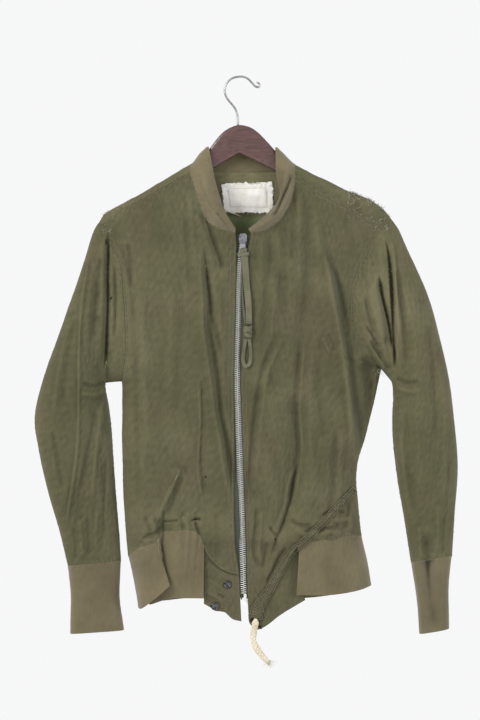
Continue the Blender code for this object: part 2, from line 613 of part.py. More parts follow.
def cloth_normals(grids):
    """Outward direction at each grid point, the mean of all the pieces that meet there."""
    points = np.concatenate([grid.reshape(-1, 3) for grid in grids.values()])
    faces = []
    for grid in grids.values():
        across_u = np.diff(grid, axis=1)
        across_v = np.diff(grid, axis=0)
        normal = np.cross((across_u[:-1] + across_u[1:]), (across_v[:, :-1] + across_v[:, 1:]))
        normal /= np.linalg.norm(normal, axis=-1)[..., None]
        total = np.zeros_like(grid)
        for i in (0, 1):
            for j in (0, 1):
                rows = slice(i, i + normal.shape[0])
                columns = slice(j, j + normal.shape[1])
                total[rows, columns] += normal
        faces.append(total.reshape(-1, 3))
    faces = np.concatenate(faces)
    keys = np.round(points / 0.02).astype(int)
    _, same = np.unique(keys, axis=0, return_inverse=True)
    same = same.ravel()
    total = np.zeros((same.max() + 1, 3))
    np.add.at(total, same, faces)
    normals = total[same]
    normals /= np.linalg.norm(normals, axis=1)[:, None]
    out, start = {}, 0
    for name, grid in grids.items():
        count = grid.shape[0] * grid.shape[1]
        out[name] = normals[start:start + count].reshape(grid.shape)
        start += count
    return out


def trimmed(grid, normals, sides, gap=SEAM_GAP / 2):
    """The grid drawn back by half a seam gap at the named sides, square to each seam."""
    out = grid.copy()
    pairs = {"top": (0, 1, 0), "low": (-1, -2, 0), "first": (0, 1, 1), "last": (-1, -2, 1)}
    for side in sides.split():
        edge, inner, axis = pairs[side]
        line, beyond = (grid[edge], grid[inner]) if axis == 0 else (grid[:, edge], grid[:, inner])
        upright = normals[edge] if axis == 0 else normals[:, edge]
        square = np.cross(np.gradient(line, axis=0), upright)
        square /= np.linalg.norm(square, axis=1)[:, None]
        square *= np.sign(np.sum(square * (beyond - line), axis=1))[:, None]
        if axis == 0:
            out[edge] += gap * square
        else:
            out[:, edge] += gap * square
    return out


def material(finish):
    made = bpy.data.materials.get(finish) or bpy.data.materials.new(finish)
    made.use_nodes = True
    colour, rough, metallic = COLOURS[finish]
    shader = made.node_tree.nodes["Principled BSDF"]
    shader.inputs["Base Color"].default_value = (*colour, 1)
    shader.inputs["Roughness"].default_value = rough
    shader.inputs["Metallic"].default_value = metallic
    return made


def solid(name, vertices, faces, finish):
    """Closed mesh object of one sub-part, from points in millimetres."""
    mesh = bpy.data.meshes.new(name)
    mesh.from_pydata([tuple(MM * float(c) for c in v) for v in vertices], [], faces)
    body = bmesh.new()
    body.from_mesh(mesh)
    bmesh.ops.remove_doubles(body, verts=body.verts, dist=1e-6)
    bmesh.ops.recalc_face_normals(body, faces=body.faces)
    body.to_mesh(mesh)
    body.free()
    mesh.shade_smooth()
    mesh.set_sharp_from_angle(angle=math.radians(40))
    made = bpy.data.objects.new(name, mesh)
    bpy.context.scene.collection.objects.link(made)
    mesh.materials.append(material(finish))
    return made


def wall(name, outer, inner, finish, ring=False):
    """Wall between two grids of points, closed round its rims; a ring's columns wrap."""
    if ring:
        outer[:, -1], inner[:, -1] = outer[:, 0], inner[:, 0]
    rows, columns = outer.shape[:2]
    vertices = np.concatenate([outer.reshape(-1, 3), inner.reshape(-1, 3)])
    count = rows * columns
    faces = []
    for i in range(rows - 1):
        for j in range(columns - 1):
            a = i * columns + j
            quad = (a, a + 1, a + columns + 1, a + columns)
            faces.append(quad)
            faces.append(tuple(count + k for k in reversed(quad)))
    rim = [[i * columns + j for j in range(columns)] for i in (0, rows - 1)]
    if not ring:
        rim += [[i * columns + j for i in range(rows)] for j in (0, columns - 1)]
    for line in rim:
        for a, b in zip(line, line[1:]):
            faces.append((a, b, b + count, a + count))
    return solid(name, vertices, faces, finish)


def panel(name, grid, normals, thick, finish, sides, ring=False):
    """A cloth wall under the skin grid, drawn back at its seams."""
    inner = grid - thick * normals
    return wall(name, trimmed(grid, normals, sides), trimmed(inner, normals, sides), finish, ring)


def tree_of(made):
    mesh = made.data
    return BVHTree.FromPolygons([v.co for v in mesh.vertices],
                                [tuple(p.vertices) for p in mesh.polygons])


def front_y(trees, x, z):
    """Front face of the solids under the place (x, z), mm."""
    hits = [tree.ray_cast(Vector((x * MM, -0.3, z * MM)), Vector((0, 1, 0)))[0] for tree in trees]
    found = [hit.y / MM for hit in hits if hit is not None]
    return min(found) if found else None


def clear_y(trees, x, z, reach):
    """Foremost face of the solids within a short reach of the place (x, z), mm."""
    found = [front_y(trees, x + i * reach, z + k * reach) for i in (-1, 0, 1) for k in (-1, 0, 1)]
    found = [y for y in found if y is not None and y < FRONT_SIDE]
    return min(found) if found else None


def laid(trees, line, half, columns, reach):
    """Grid of points on the front of the solids: a row for each line point, spread to its sides."""
    tangent = np.gradient(line, axis=0)
    tangent /= np.linalg.norm(tangent, axis=1)[:, None]
    grid = np.zeros((len(line), len(columns), 3))
    for i, (x, z) in enumerate(line):
        ys = []
        for j, column in enumerate(columns):
            aside = column * half[i]
            place_x = x - tangent[i, 1] * aside
            place_z = z + tangent[i, 0] * aside
            grid[i, j] = (place_x, 0, place_z)
            ys.append(clear_y(trees, place_x, place_z, reach))
        known = [j for j, y in enumerate(ys) if y is not None]
        grid[i, :, 1] = np.interp(range(len(columns)), known, [ys[j] for j in known])
    return grid


def tube(name, path, radius, finish, resolution=2, cyclic=False):
    """Cord or wire: a curve object with a round bevel and filled ends."""
    curve = bpy.data.curves.new(name, "CURVE")
    curve.dimensions = "3D"
    curve.bevel_depth = radius * MM
    curve.bevel_resolution = resolution
    curve.use_fill_caps = True
    spline = curve.splines.new("POLY")
    spline.points.add(len(path) - 1)
    for point, place_ in zip(spline.points, path):
        point.co = (*[float(c) * MM for c in place_], 1)
    made = bpy.data.objects.new(name, curve)
    bpy.context.scene.collection.objects.link(made)
    curve.materials.append(material(finish))
    return made


def turned(name, profile, centre, axis_y, finish, sides=16):
    """Round piece turned about the Y axis from (radius, y) pairs; ends lie on the axis."""
    vertices, faces = [], []
    rings = []
    for radius, y in profile:
        if radius == 0:
            rings.append([len(vertices)])
            vertices.append((centre[0], axis_y + y, centre[1]))
            continue
        rings.append(list(range(len(vertices), len(vertices) + sides)))
        for k in range(sides):
            angle = 2 * math.pi * k / sides
            vertices.append((centre[0] + radius * math.cos(angle), axis_y + y,
                             centre[1] + radius * math.sin(angle)))
    for a, b in zip(rings, rings[1:]):
        for k in range(sides):
            m = (k + 1) % sides
            if len(a) == 1:
                faces.append((a[0], b[k], b[m]))
            elif len(b) == 1:
                faces.append((a[k], a[m], b[0]))
            else:
                faces.append((a[k], a[m], b[m], b[k]))
    return solid(name, vertices, faces, finish)


def block(name, low, high, finish, bevel=0.0):
    """Box between two corners, with its edges eased."""
    corners = [(x, y, z) for x in (low[0], high[0]) for y in (low[1], high[1])
               for z in (low[2], high[2])]
    faces = [(0, 1, 3, 2), (4, 6, 7, 5), (0, 4, 5, 1), (2, 3, 7, 6), (0, 2, 6, 4), (1, 5, 7, 3)]
    made = solid(name, corners, faces, finish)
    if bevel:
        ease = made.modifiers.new("Eased edges", "BEVEL")
        ease.width = bevel * MM
        ease.segments = 1
    return made


def cut(target, tool, operation):
    """Boolean of two objects; the tool stays as a hidden guide."""
    change = target.modifiers.new(operation.title(), "BOOLEAN")
    change.operation = operation
    change.object = tool
    change.solver = "EXACT"
    tool.hide_render = True
    tool.display_type = "WIRE"


def make_cloth():
    """All sewn cloth pieces; returns the grids and objects that trim is set against."""
    grids, rib_cells = body_grids()
    for side in (-1, 1):
        sleeve_grids(grids, side)
    grids["collar"] = collar_grid(grids)
    grids["hem_rib"] = hem_grid(grids, rib_cells)
    grids["front_tail"] = tail_grid(grids, rib_cells)
    normals = cloth_normals({name: oriented(grid, name) for name, grid in grids.items()})
    normals = {name: oriented(normal, name) for name, normal in normals.items()}
    shared = normals["hem_rib"][0, :2 * rib_cells + 1:2]
    normals["hem_rib"][0, :2 * rib_cells + 1] = halved(shared)
    plan = {
        "front_right": ("top first low last", CLOTH_WALL, "cloth"),
        "front_left": ("top first low last", CLOTH_WALL, "cloth"),
        "back": ("top first low last", CLOTH_WALL, "cloth"),
        "sleeve_right_front": ("top low first last", CLOTH_WALL, "cloth"),
        "sleeve_right_back": ("top low first last", CLOTH_WALL, "cloth"),
        "sleeve_left_front": ("top low first last", CLOTH_WALL, "cloth"),
        "sleeve_left_back": ("top low first last", CLOTH_WALL, "cloth"),
        "cuff_right": ("top", KNIT_WALL, "knit"),
        "cuff_left": ("top", KNIT_WALL, "knit"),
        "collar": ("top", KNIT_WALL, "knit"),
        "hem_rib": ("top", KNIT_WALL, "knit"),
        "front_tail": ("top", CLOTH_WALL, "cloth"),
    }
    made = {}
    for name, (sides, thick, finish) in plan.items():
        made[name] = panel(name, grids[name], normals[name], thick, finish, sides,
                           ring=name.startswith("cuff"))
    return grids, normals, made


REVERSED = ("front_right", "front_left", "front_tail", "sleeve_right_front", "sleeve_left_back",
            "cuff_right", "collar")


def oriented(grid, name):
    """The grid with its columns turned about where they run the other way round the body."""
    return grid[:, ::-1] if name in REVERSED else grid


def tail_grid(grids, rib_cells):
    """Cloth below the casing, from its seam to the pointed lower edge, tucked behind the hem."""
    seam_line = grids["front_left"][-1][:rib_cells - 2]
    low = place(TAIL_LOW, -1, len(seam_line) - 1)
    zip_side = place(TAIL_ZIP, -1, 4)
    top = np.stack([seam_line[:, 0], seam_line[:, 2]], 1)
    top = place(top, -1)
    inner = place(np.linspace(seam_line[-1][[0, 2]], [104, -836], 5), -1)
    zip_side[0], inner[0] = top[0], top[-1]
    low[0], low[-1] = zip_side[-1], inner[-1]
    grid = skin(*np.moveaxis(patch(top, low, zip_side, inner), -1, 0))
    grid[0] = seam_line
    behind = np.clip((grid[..., 0] - 70) / 14, 0, 1) * (KNIT_WALL + 1.2)
    behind[0] = 0
    grid[..., 1] += behind
    return grid


def slab(name, grid, lift, thick, finish):
    """Thin piece laid in front of a grid of points: lifted off it, then as thick as told."""
    towards = np.array([0, -1, 0])
    lift = np.broadcast_to(np.asarray(lift, float), grid.shape[:2])
    thick = np.broadcast_to(np.asarray(thick, float), grid.shape[:2])
    inner = grid + lift[..., None] * towards
    return wall(name, inner + thick[..., None] * towards, inner, finish)


def make_tab():
    """Tab below the right front that carries the snaps; its top tucks in behind the front."""
    left = place(np.linspace([-57.6, -742], [-57.6, -842], 7), -1)
    right = place(zip_edge(-789, -870, -1, 6) - (0.3, 0), -1)
    top = place(TAB_TOP, -1, 7)
    low = place(TAB_LOW, -1, 7)
    top[0], top[-1], low[0], low[-1] = left[0], right[0], left[-1], right[-1]
    grid = skin(*np.moveaxis(patch(top, low, left, right), -1, 0))
    step = fold_rise(grid[..., 0], grid[..., 2], TAB_FOLD)
    grid[..., 1] += CLOTH_WALL + LAY_GAP + 0.5 - step
    return slab("snap_tab", grid, -CLOTH_WALL, CLOTH_WALL, "cloth"), grid


def extruded(name, outline, front, back, finish):
    """Flat piece: its (x, z) outline carried from one depth to the other."""
    count = len(outline)
    vertices = [(x, y, z) for y in (front, back) for x, z in outline]
    faces = [tuple(range(count)), tuple(range(2 * count - 1, count - 1, -1))]
    faces += [(k, k + count, (k + 1) % count + count, (k + 1) % count) for k in range(count)]
    return solid(name, vertices, faces, finish)


def make_zip(grids, normals, tab_grid):
    """Zip tapes behind the edges of the fronts, the chain between them and the box at its foot."""
    tapes = {}
    for side, name, edge, inner in ((-1, "right", -1, -2), (1, "left", 0, 1)):
        behind = grids["front_" + name] - CLOTH_WALL * normals["front_" + name]
        near, inside = behind[:, edge].copy(), behind[:, inner]
        far = near + TAPE_TUCK / np.linalg.norm(inside - near, axis=1)[:, None] * (inside - near)
        middle = zip_middle(near[:, 2])
        reach = np.maximum(side * (near[:, 0] - middle) - TAPE_SHOW, CHAIN_WIDTH / 2 + SEAM_GAP)
        near[:, 0] = middle + side * reach
        for line in (near, far):
            line[0] += 0.08 * (line[1] - line[0])
            line[:, 1] += TAPE_LAY + TAPE_WALL
        grid = np.stack([near, far], 1)
        end = TAPE_END[name]
        grid = grid[grid[:, 0, 2] > end]
        if side < 0:
            strip = tab_grid[:, -1][(tab_grid[:, -1, 2] < end) & (tab_grid[:, -1, 2] > ZIP_FOOT)]
            strip = np.concatenate([strip, strip[-1:] + (0, 0, ZIP_FOOT - strip[-1, 2])])
            low = np.repeat(strip[:, None], 2, axis=1)
            low[:, 0, 0] = zip_middle(strip[:, 2]) - CHAIN_WIDTH / 2 - SEAM_GAP
            low[:, 1, 0] = low[:, 0, 0] - TAPE_SHOW + 2 * SEAM_GAP
            low[..., 1] += CLOTH_WALL
            grid = np.concatenate([grid, low])
        slab("zip_tape_" + name, grid, 0, TAPE_WALL, "cloth")
        tapes[name] = grid[:, 0]
    top = SLIDER_TOP_Z - SLIDER_LENGTH - SEAM_GAP
    z = np.linspace(top, ZIP_FOOT + BOX_PIN[1] + SEAM_GAP, 30)
    chain_y = sum(np.interp(-z, -tape[:, 2], tape[:, 1]) for tape in tapes.values()) / 2
    grid = np.zeros((len(z), 2, 3))
    for j, aside in enumerate((-CHAIN_WIDTH / 2, CHAIN_WIDTH / 2)):
        grid[:, j] = np.stack([zip_middle(z) + aside, chain_y + CHAIN_THICK / 2, z], 1)
    slab("zip_chain", grid, 0, CHAIN_THICK, "metal")
    width, height = BOX_SIZE
    pin, rise = BOX_PIN
    x, base = BOX_X, ZIP_FOOT
    outline = [(x - pin / 2, base + rise), (x + pin / 2, base + rise), (x + pin / 2, base),
               (x + width / 2, base), (x + width / 2, base - height),
               (x - width / 2, base - height), (x - width / 2, base), (x - pin / 2, base)]
    extruded("zip_box", outline, chain_y[-1] - BOX_THICK / 2, chain_y[-1] + BOX_THICK / 2, "metal")
    return chain_y[0]


def make_slider(chain_y):
    """Slider with its arch, and the pull tab that swings on the arch."""
    x = float(zip_middle(SLIDER_TOP_Z - SLIDER_LENGTH / 2))
    front = chain_y - SLIDER_THICK / 2 - 0.6
    top, low = SLIDER_TOP_Z, SLIDER_TOP_Z - SLIDER_LENGTH
    half = SLIDER_WIDTH / 2
    outline = [(-half * 0.62, top), (half * 0.62, top), (half, top - 3), (half, top - 10),
               (half * 0.72, low), (-half * 0.72, low), (-half, top - 10), (-half, top - 3)]
    slider = extruded("zip_slider", [(x + px, pz) for px, pz in outline], front,
                      front + SLIDER_THICK, "metal")

    hinge_z = top - ARCH_DROP
    hinge_y = front - ARCH_INSIDE / 2 - 0.1
    reach = ARCH_INSIDE + ARCH_BAR
    arch = block("arch_guide", (x - ARCH_WIDTH / 2, front - reach, hinge_z - ARCH_HALF - ARCH_BAR),
                 (x + ARCH_WIDTH / 2, front + 1, hinge_z + ARCH_HALF + ARCH_BAR), "metal")
    hollow = block("arch_hollow", (x - ARCH_WIDTH, front - ARCH_INSIDE, hinge_z - ARCH_HALF),
                   (x + ARCH_WIDTH, front, hinge_z + ARCH_HALF), "metal")
    cut(arch, hollow, "DIFFERENCE")
    cut(slider, arch, "UNION")

    half_thick = TAB_THICK / 2
    pull = block("pull_tab", (-TAB_WIDTH / 2, -half_thick, -TAB_REACH),
                 (TAB_WIDTH / 2, half_thick, TAB_BAR), "metal", bevel=0.25)
    for name, half_width, low_z, top_z in (("window_guide", 2.1, -6.9, -TAB_BAR),
                                           ("slot_guide", 2.6, -17.2, -13.2)):
        tool = block(name, (-half_width, -TAB_THICK, low_z), (half_width, TAB_THICK, top_z),
                     "metal")
        tool.parent = pull
        cut(pull, tool, "DIFFERENCE")
    pull.location = (x * MM, hinge_y * MM, hinge_z * MM)
    return hinge_y


def make_strap(hinge_y, trees):
    """Tape strap knotted through the pull tab: two strands, the knot and the loop below it."""
    stand = STRAP_DIAMETER / 2 + STRAP_LAY

    def in_front(points, cells, top_y=None):
        flat = smooth(points, cells)
        y = [clear_y(trees, px, pz, STRAP_DIAMETER / 2) - stand for px, pz in flat]
        y = np.minimum(y, read([0, 0.5, 1], [y[0], y[len(y) // 2], y[-1]],
                               np.linspace(0, 1, len(y))))
        if top_y is not None:
            y = np.minimum(y, top_y + np.linspace(0, 40, len(y)))
        return np.stack([flat[:, 0], y, flat[:, 1]], 1)

    for name, points in (("pull_strap_right", STRAP_RIGHT), ("pull_strap_left", STRAP_LEFT)):
        tube(name, in_front(points, 11, hinge_y), STRAP_DIAMETER / 2, "cloth")
    knot_y = clear_y(trees, *KNOT, KNOT_RADII[0]) - KNOT_RADII[1] - STRAP_LAY
    vertices, faces = [], []
    sides = 12
    levels = np.linspace(-1, 1, 9)[1:-1]
    for share in levels:
        girth = math.sqrt(1 - share**2)
        for k in range(sides):
            angle = 2 * math.pi * k / sides
            vertices.append((KNOT[0] + KNOT_RADII[0] * girth * math.cos(angle),
                             knot_y + KNOT_RADII[1] * girth * math.sin(angle),
                             KNOT[1] + KNOT_RADII[2] * share))
    solid("pull_knot", vertices, stacked_faces(len(levels), sides), "cloth")
    tube("pull_loop", in_front(STRAP_LOOP, 17), STRAP_DIAMETER / 2, "cloth")


def stacked_faces(rings, sides):
    """Faces of a closed body made of rings one after the other."""
    faces = [(i * sides + k, i * sides + (k + 1) % sides,
              (i + 1) * sides + (k + 1) % sides, (i + 1) * sides + k)
             for i in range(rings - 1) for k in range(sides)]
    last = (rings - 1) * sides
    return faces + [tuple(range(sides)), tuple(range(last + sides - 1, last - 1, -1))]


def make_trim(made, tab):
    """Snaps on the tab, the drawcord's casing and the label inside the neck."""
    tab_tree = tree_of(tab)
    radius = SNAP_DIAMETER / 2
    for name, (x, z) in SNAPS.items():
        rim = [front_y([tab_tree], x + radius * 0.8 * math.cos(a), z + radius * 0.8 * math.sin(a))
               for a in np.linspace(0, 2 * math.pi, 9)]
        seat = min(y for y in rim if y is not None) - SEAM_GAP
        profile = [(0, 0), (radius, 0), (radius, -0.9), (radius * 0.8, -1.9), (radius * 0.5, -2.1),
                   (radius * 0.42, -1.3), (0, -1.3)]
        turned(name, profile, (x, z), seat, "dark metal")

    trees = [tree_of(made[name]) for name in ("front_left", "front_tail", "hem_rib")]
    line = np.stack([CASING_LINE["x"], CASING_LINE["z"]], 1)
    path = smooth(line, 24)
    half = read(along(line), CASING_LINE["half"], np.linspace(0, 1, len(path)))
    columns = np.linspace(-1, 1, 5)
    grid = laid(trees, path, half, columns, 4)
    slab("casing", grid, CASING_LAY, 1.2 + 1.8 * (1 - columns[None, :]**4), "cloth")

    corners = np.stack([LABEL["x"], LABEL["z"]], 1)
    u = np.linspace(0, 1, 6)[None, :, None]
    v = np.linspace(0, 1, 4)[:, None, None]
    flat = ((1 - v) * ((1 - u) * corners[0] + u * corners[1])
            + v * ((1 - u) * corners[3] + u * corners[2]))
    back_tree = tree_of(made["back"])
    grid = np.zeros((*flat.shape[:2], 3))
    for i in range(flat.shape[0]):
        for j in range(flat.shape[1]):
            x, z = flat[i, j]
            grid[i, j] = (x, front_y([back_tree], x, z), z)
    slab("label", grid, LAY_GAP, 1.0, "canvas")


def make_hanger():
    """Flat wooden hanger with its wire hook, inside the shoulders."""
    stations = np.union1d(HANGER_TOP["x"], HANGER_LOW["x"])
    sides = 12
    vertices = []
    for x in stations:
        top = float(read(HANGER_TOP["x"], HANGER_TOP["z"], np.array([x]))[0])
        low = float(read(HANGER_LOW["x"], HANGER_LOW["z"], np.array([x]))[0])
        ease = min(1.0, math.sqrt(max(0.05, 1 - ((x - 10) / 203) ** 2)) * 1.6)
        for k in range(sides):
            angle = 2 * math.pi * (k + 0.5) / sides
            y = math.copysign(abs(math.cos(angle)) ** 0.8, math.cos(angle)) * WOOD_THICK / 2 * ease
            z = math.copysign(abs(math.sin(angle)) ** 0.8, math.sin(angle))
            vertices.append((x, y, (top + low) / 2 + z * (top - low) / 2))
    solid("hanger_body", vertices, stacked_faces(len(stations), sides), "wood")
    path = smooth([(x, 0, z) for x, z in HOOK_PATH], 36)
    tube("hanger_hook", path, HOOK_WIRE / 2, "steel")


def make_all():
    for old in list(bpy.data.objects):
        bpy.data.objects.remove(old)
    grids, normals, made = make_cloth()
    tab, tab_grid = make_tab()
    chain_y = make_zip(grids, normals, tab_grid)
    hinge_y = make_slider(chain_y)
    chain = bpy.data.objects["zip_chain"]
    make_strap(hinge_y, [tree_of(o) for o in (made["front_right"], made["front_left"], chain)])
    make_trim(made, tab)
    tube("drawcord", smooth(CORD_PATH, 20), CORD_DIAMETER / 2, "cord")
    make_hanger()


make_all()
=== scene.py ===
"""Bomber jacket on a wooden hanger: washed sateen, rib knit, a metal zip and varnished wood.

The wearer's right side is at -X, the front faces -Y, and the origin is the inside of the top of
the hanger's hook. Places and sizes in the tables are millimetres.
"""

import math

import bpy
import numpy as np
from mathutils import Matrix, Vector
from mathutils.bvhtree import BVHTree


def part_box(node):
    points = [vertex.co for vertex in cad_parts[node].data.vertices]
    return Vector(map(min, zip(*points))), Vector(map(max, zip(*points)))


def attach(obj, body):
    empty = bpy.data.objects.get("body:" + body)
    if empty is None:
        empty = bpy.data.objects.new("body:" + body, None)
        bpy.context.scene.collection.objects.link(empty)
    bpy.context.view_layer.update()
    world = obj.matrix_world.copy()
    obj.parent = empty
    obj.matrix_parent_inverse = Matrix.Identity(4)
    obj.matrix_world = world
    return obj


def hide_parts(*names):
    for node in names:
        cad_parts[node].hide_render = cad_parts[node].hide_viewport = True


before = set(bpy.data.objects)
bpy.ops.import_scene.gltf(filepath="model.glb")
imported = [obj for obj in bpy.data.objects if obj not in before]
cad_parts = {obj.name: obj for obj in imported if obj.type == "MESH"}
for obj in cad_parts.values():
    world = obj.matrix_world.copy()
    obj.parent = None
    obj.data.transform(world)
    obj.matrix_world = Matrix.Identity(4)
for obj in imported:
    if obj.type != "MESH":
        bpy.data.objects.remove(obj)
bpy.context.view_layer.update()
MM = 0.001

# ----------------------------------------
# The studio: a pale floor under the hanging jacket, one large soft light from the left of the
# camera with a weaker one opposite, white surroundings, and the camera level with the jacket.
scene = bpy.context.scene
camera = bpy.data.objects.new("camera", bpy.data.cameras.new("camera"))
camera.data.lens = 200
camera.location = (0, -6.42, -0.4528)
camera.rotation_euler = (math.pi / 2, 0, 0)
scene.collection.objects.link(camera)
scene.camera = camera
scene.view_settings.view_transform = "Standard"


def soft_light(name, place, aim, width, height, power, colour):
    light = bpy.data.lights.new(name, "AREA")
    light.shape = "RECTANGLE"
    light.size, light.size_y, light.energy, light.color = width, height, power, colour
    made = bpy.data.objects.new(name, light)
    made.location = place
    made.rotation_euler = (Vector(aim) - Vector(place)).to_track_quat("-Z", "Y").to_euler()
    scene.collection.objects.link(made)


soft_light("window light", (-2.3, -2.0, 0.9), (0, 0, -0.45), 1.5, 1.8, 84, (1, 0.985, 0.96))
soft_light("reflector", (2.4, -1.8, -0.2), (0, 0, -0.5), 1.6, 1.8, 38, (0.94, 0.97, 1))
soft_light("back light", (0.4, 2.6, 0.9), (0, 0, -0.45), 2.2, 1.6, 29, (1, 1, 1))

scene.world = bpy.data.worlds.new("white surroundings")
scene.world.use_nodes = True
sky = scene.world.node_tree
background = sky.nodes["Background"]
background.inputs["Color"].default_value = (0.93, 0.932, 0.94, 1)
seen = sky.nodes.new("ShaderNodeLightPath")
dimmed = sky.nodes.new("ShaderNodeMath")        # 1 as the camera sees it, 0.75 as a light
dimmed.operation = "MULTIPLY_ADD"
dimmed.inputs[1].default_value, dimmed.inputs[2].default_value = 0.25, 0.75
sky.links.new(seen.outputs["Is Camera Ray"], dimmed.inputs[0])
sky.links.new(dimmed.outputs[0], background.inputs["Strength"])


class Wire:
    """What a shader node gives out; sums and products of it add Math nodes to the same finish."""

    def __init__(self, finish, socket):
        self.finish, self.socket = finish, socket

    def math(self, operation, one, other=0.0):
        return self.finish.node("Math", {"operation": operation}, {0: one, 1: other})

    __add__ = __radd__ = lambda self, other: self.math("ADD", self, other)
    __mul__ = __rmul__ = lambda self, other: self.math("MULTIPLY", self, other)
    __sub__ = lambda self, other: self.math("SUBTRACT", self, other)
    __rsub__ = lambda self, other: self.math("SUBTRACT", other, self)
    __rtruediv__ = lambda self, other: self.math("DIVIDE", other, self)
    __pow__ = lambda self, other: self.math("POWER", self, other)

    def sine(self):
        return self.math("SINE", self)

    def wave(self, pitch):
        return (self * (2 * math.pi / pitch)).sine()

    def between(self, low, high):
        """0 below low, 1 above high, and a soft step between them."""
        return self.finish.node("MapRange", {"interpolation_type": "SMOOTHSTEP"},
                                {0: self, 1: low, 2: high, 3: 0.0, 4: 1.0})


class Finish:
    """One material: what is the same all over is set on its shader, the rest comes from nodes."""

    def __init__(self, name, **fixed):
        self.made = bpy.data.materials.new(name)
        self.made.use_nodes = True
        self.tree = self.made.node_tree
        self.shader = self.tree.nodes["Principled BSDF"]
        for socket, value in fixed.items():
            self.shader.inputs[socket.replace("_", " ")].default_value = value

    def node(self, kind, settings, sockets, output=0):
        made = self.tree.nodes.new("ShaderNode" + kind)
        for key, value in settings.items():
            if key == "stops":
                ramp = made.color_ramp.elements
                while len(ramp) < len(value):
                    ramp.new(1)
                for stop, (at, colour) in zip(ramp, value):
                    stop.position, stop.color = at, (*colour, 1)
            else:
                setattr(made, key, value)
        for key, value in sockets.items():
            if isinstance(value, Wire):
                self.tree.links.new(value.socket, made.inputs[key])
            else:
                made.inputs[key].default_value = value
        return Wire(self, made.outputs[output])

    def split(self, whole):
        outputs = self.node("SeparateXYZ", {}, {0: whole}).socket.node.outputs
        return [Wire(self, output) for output in outputs]

    def place(self):
        """Place on the object in metres: the whole vector, then x, y and z."""
        whole = self.node("TexCoord", {}, {}, 3)
        return (whole, *self.split(whole))

    def lie(self):
        """Lie of the cloth: mm run across and down it, how worn it is on fold crests and how much
        painted shade it takes in fold hollows (0 to 1), mm to its edge.
        """
        whole = self.node("Attribute", {"attribute_name": "lie"}, {}, 1)
        edge = self.node("Attribute", {"attribute_name": "edge"}, {}, 2)
        return (*self.split(whole), edge)

    def vector(self, x, y, z):
        return self.node("CombineXYZ", {}, {0: x, 1: y, 2: z})

    def cloud(self, where, size, detail=2.0, rough=0.5):
        """Uneven patches, about 0 to 1, of that size in the units of the place it is given."""
        return self.node("TexNoise", {}, {"Vector": where, "Scale": 1 / size, "Detail": detail,
                                          "Roughness": rough})

    def ramp(self, share, *stops):
        return self.node("ValToRGB", {"stops": stops}, {0: share})

    def mix(self, share, one, other):
        other = (*other, 1)
        return self.node("Mix", {"data_type": "RGBA"}, {0: share, 6: one, 7: other}, 2)

    def bright(self, colour, factor):
        """The colour made lighter or darker by a factor."""
        return self.node("VectorMath", {"operation": "SCALE"}, {0: colour, "Scale": factor})

    def relief(self, height, depth, strength=1.0):
        """Normal of a surface whose height, 0 to 1, stands for that depth in metres."""
        return self.node("Bump", {}, {"Strength": strength, "Distance": depth, "Height": height})

    def feed(self, **wires):
        for socket, wire in wires.items():
            self.tree.links.new(wire.socket, self.shader.inputs[socket.replace("_", " ")])
        return self


def piece(name, vertices, faces, finishes, body="garment", hides=(), second=()):
    """Mesh piece from points in millimetres; faces numbered in `second` take the second finish."""
    mesh = bpy.data.meshes.new(name)
    mesh.from_pydata((np.asarray(vertices, float) * MM).tolist(), [], faces)
    mesh.shade_smooth()
    for finish in finishes:
        mesh.materials.append(finish.made)
    if len(second):
        index = np.zeros(len(mesh.polygons), np.int32)
        index[second] = 1
        mesh.polygons.foreach_set("material_index", index)
    made = bpy.data.objects.new(name, mesh)
    scene.collection.objects.link(made)
    if body:
        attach(made, body)
    if hides:
        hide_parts(*hides)
    return made


def floor_finish():
    made = Finish("pale floor", Roughness=0.85)
    whole, *_ = made.place()
    patches = made.cloud(whole, 0.5, 3)
    grain = made.cloud(whole, 0.004)
    colour = made.ramp(patches, (0.3, (0.72, 0.72, 0.71)), (0.7, (0.78, 0.78, 0.77)))
    return made.feed(Base_Color=colour, Normal=made.relief(grain, 0.0003))


floor = piece("studio_floor", [(x, y, -1300) for y in (-4200, 1200) for x in (-3500, 3500)],
              [(0, 1, 3, 2)], [floor_finish()], body=None)

# ----------------------------------------
# Drawcord: a soft braided cotton cord, about 10 mm thick, that comes out of the lower end of the
# casing and hangs 80 mm free. It is cut off square, and its strands have opened into a fringe.
CORD_PATH = [(25, -45.6, -865), (24, -46.5, -874), (22.5, -48, -885), (21, -49, -897),
             (23.5, -49.5, -907), (30, -49.5, -917), (38, -49, -927), (44.5, -48.5, -934)]
CORD_DIAMETER = 10.0
CORD_RUN = 82                       # mm from its hole to its cut end
BRAID_TURN = 6.4                    # mm of cord to each turn of its strands
FRINGE_FIBRES = 70


def even(cells):
    """Shares, 0 to 1, at the ends of so many even cells."""
    return np.linspace(0, 1, cells + 1)


def circle(sides):
    """Angles of points spaced evenly round a circle."""
    return np.linspace(0, 2 * math.pi, sides, endpoint=False)


def unit(vectors):
    return vectors / np.linalg.norm(vectors, axis=-1, keepdims=True)


def on_line(where, run, points):
    """Points of a broken line at each `where`, from the place `run` of each of its points."""
    return np.stack([np.interp(where, run, column) for column in points.T], -1)


def travelled(points):
    """Length run along a line, or down each line of a grid, up to each of its points."""
    lengths = np.linalg.norm(np.diff(points, axis=0), axis=-1)
    return np.concatenate([np.zeros_like(lengths[:1]), np.cumsum(lengths, 0)])


def along(points):
    """Share of a line's length at each of its points."""
    lengths = np.linalg.norm(np.diff(points, axis=0), axis=1)
    return np.concatenate([[0], np.cumsum(lengths)]) / lengths.sum()


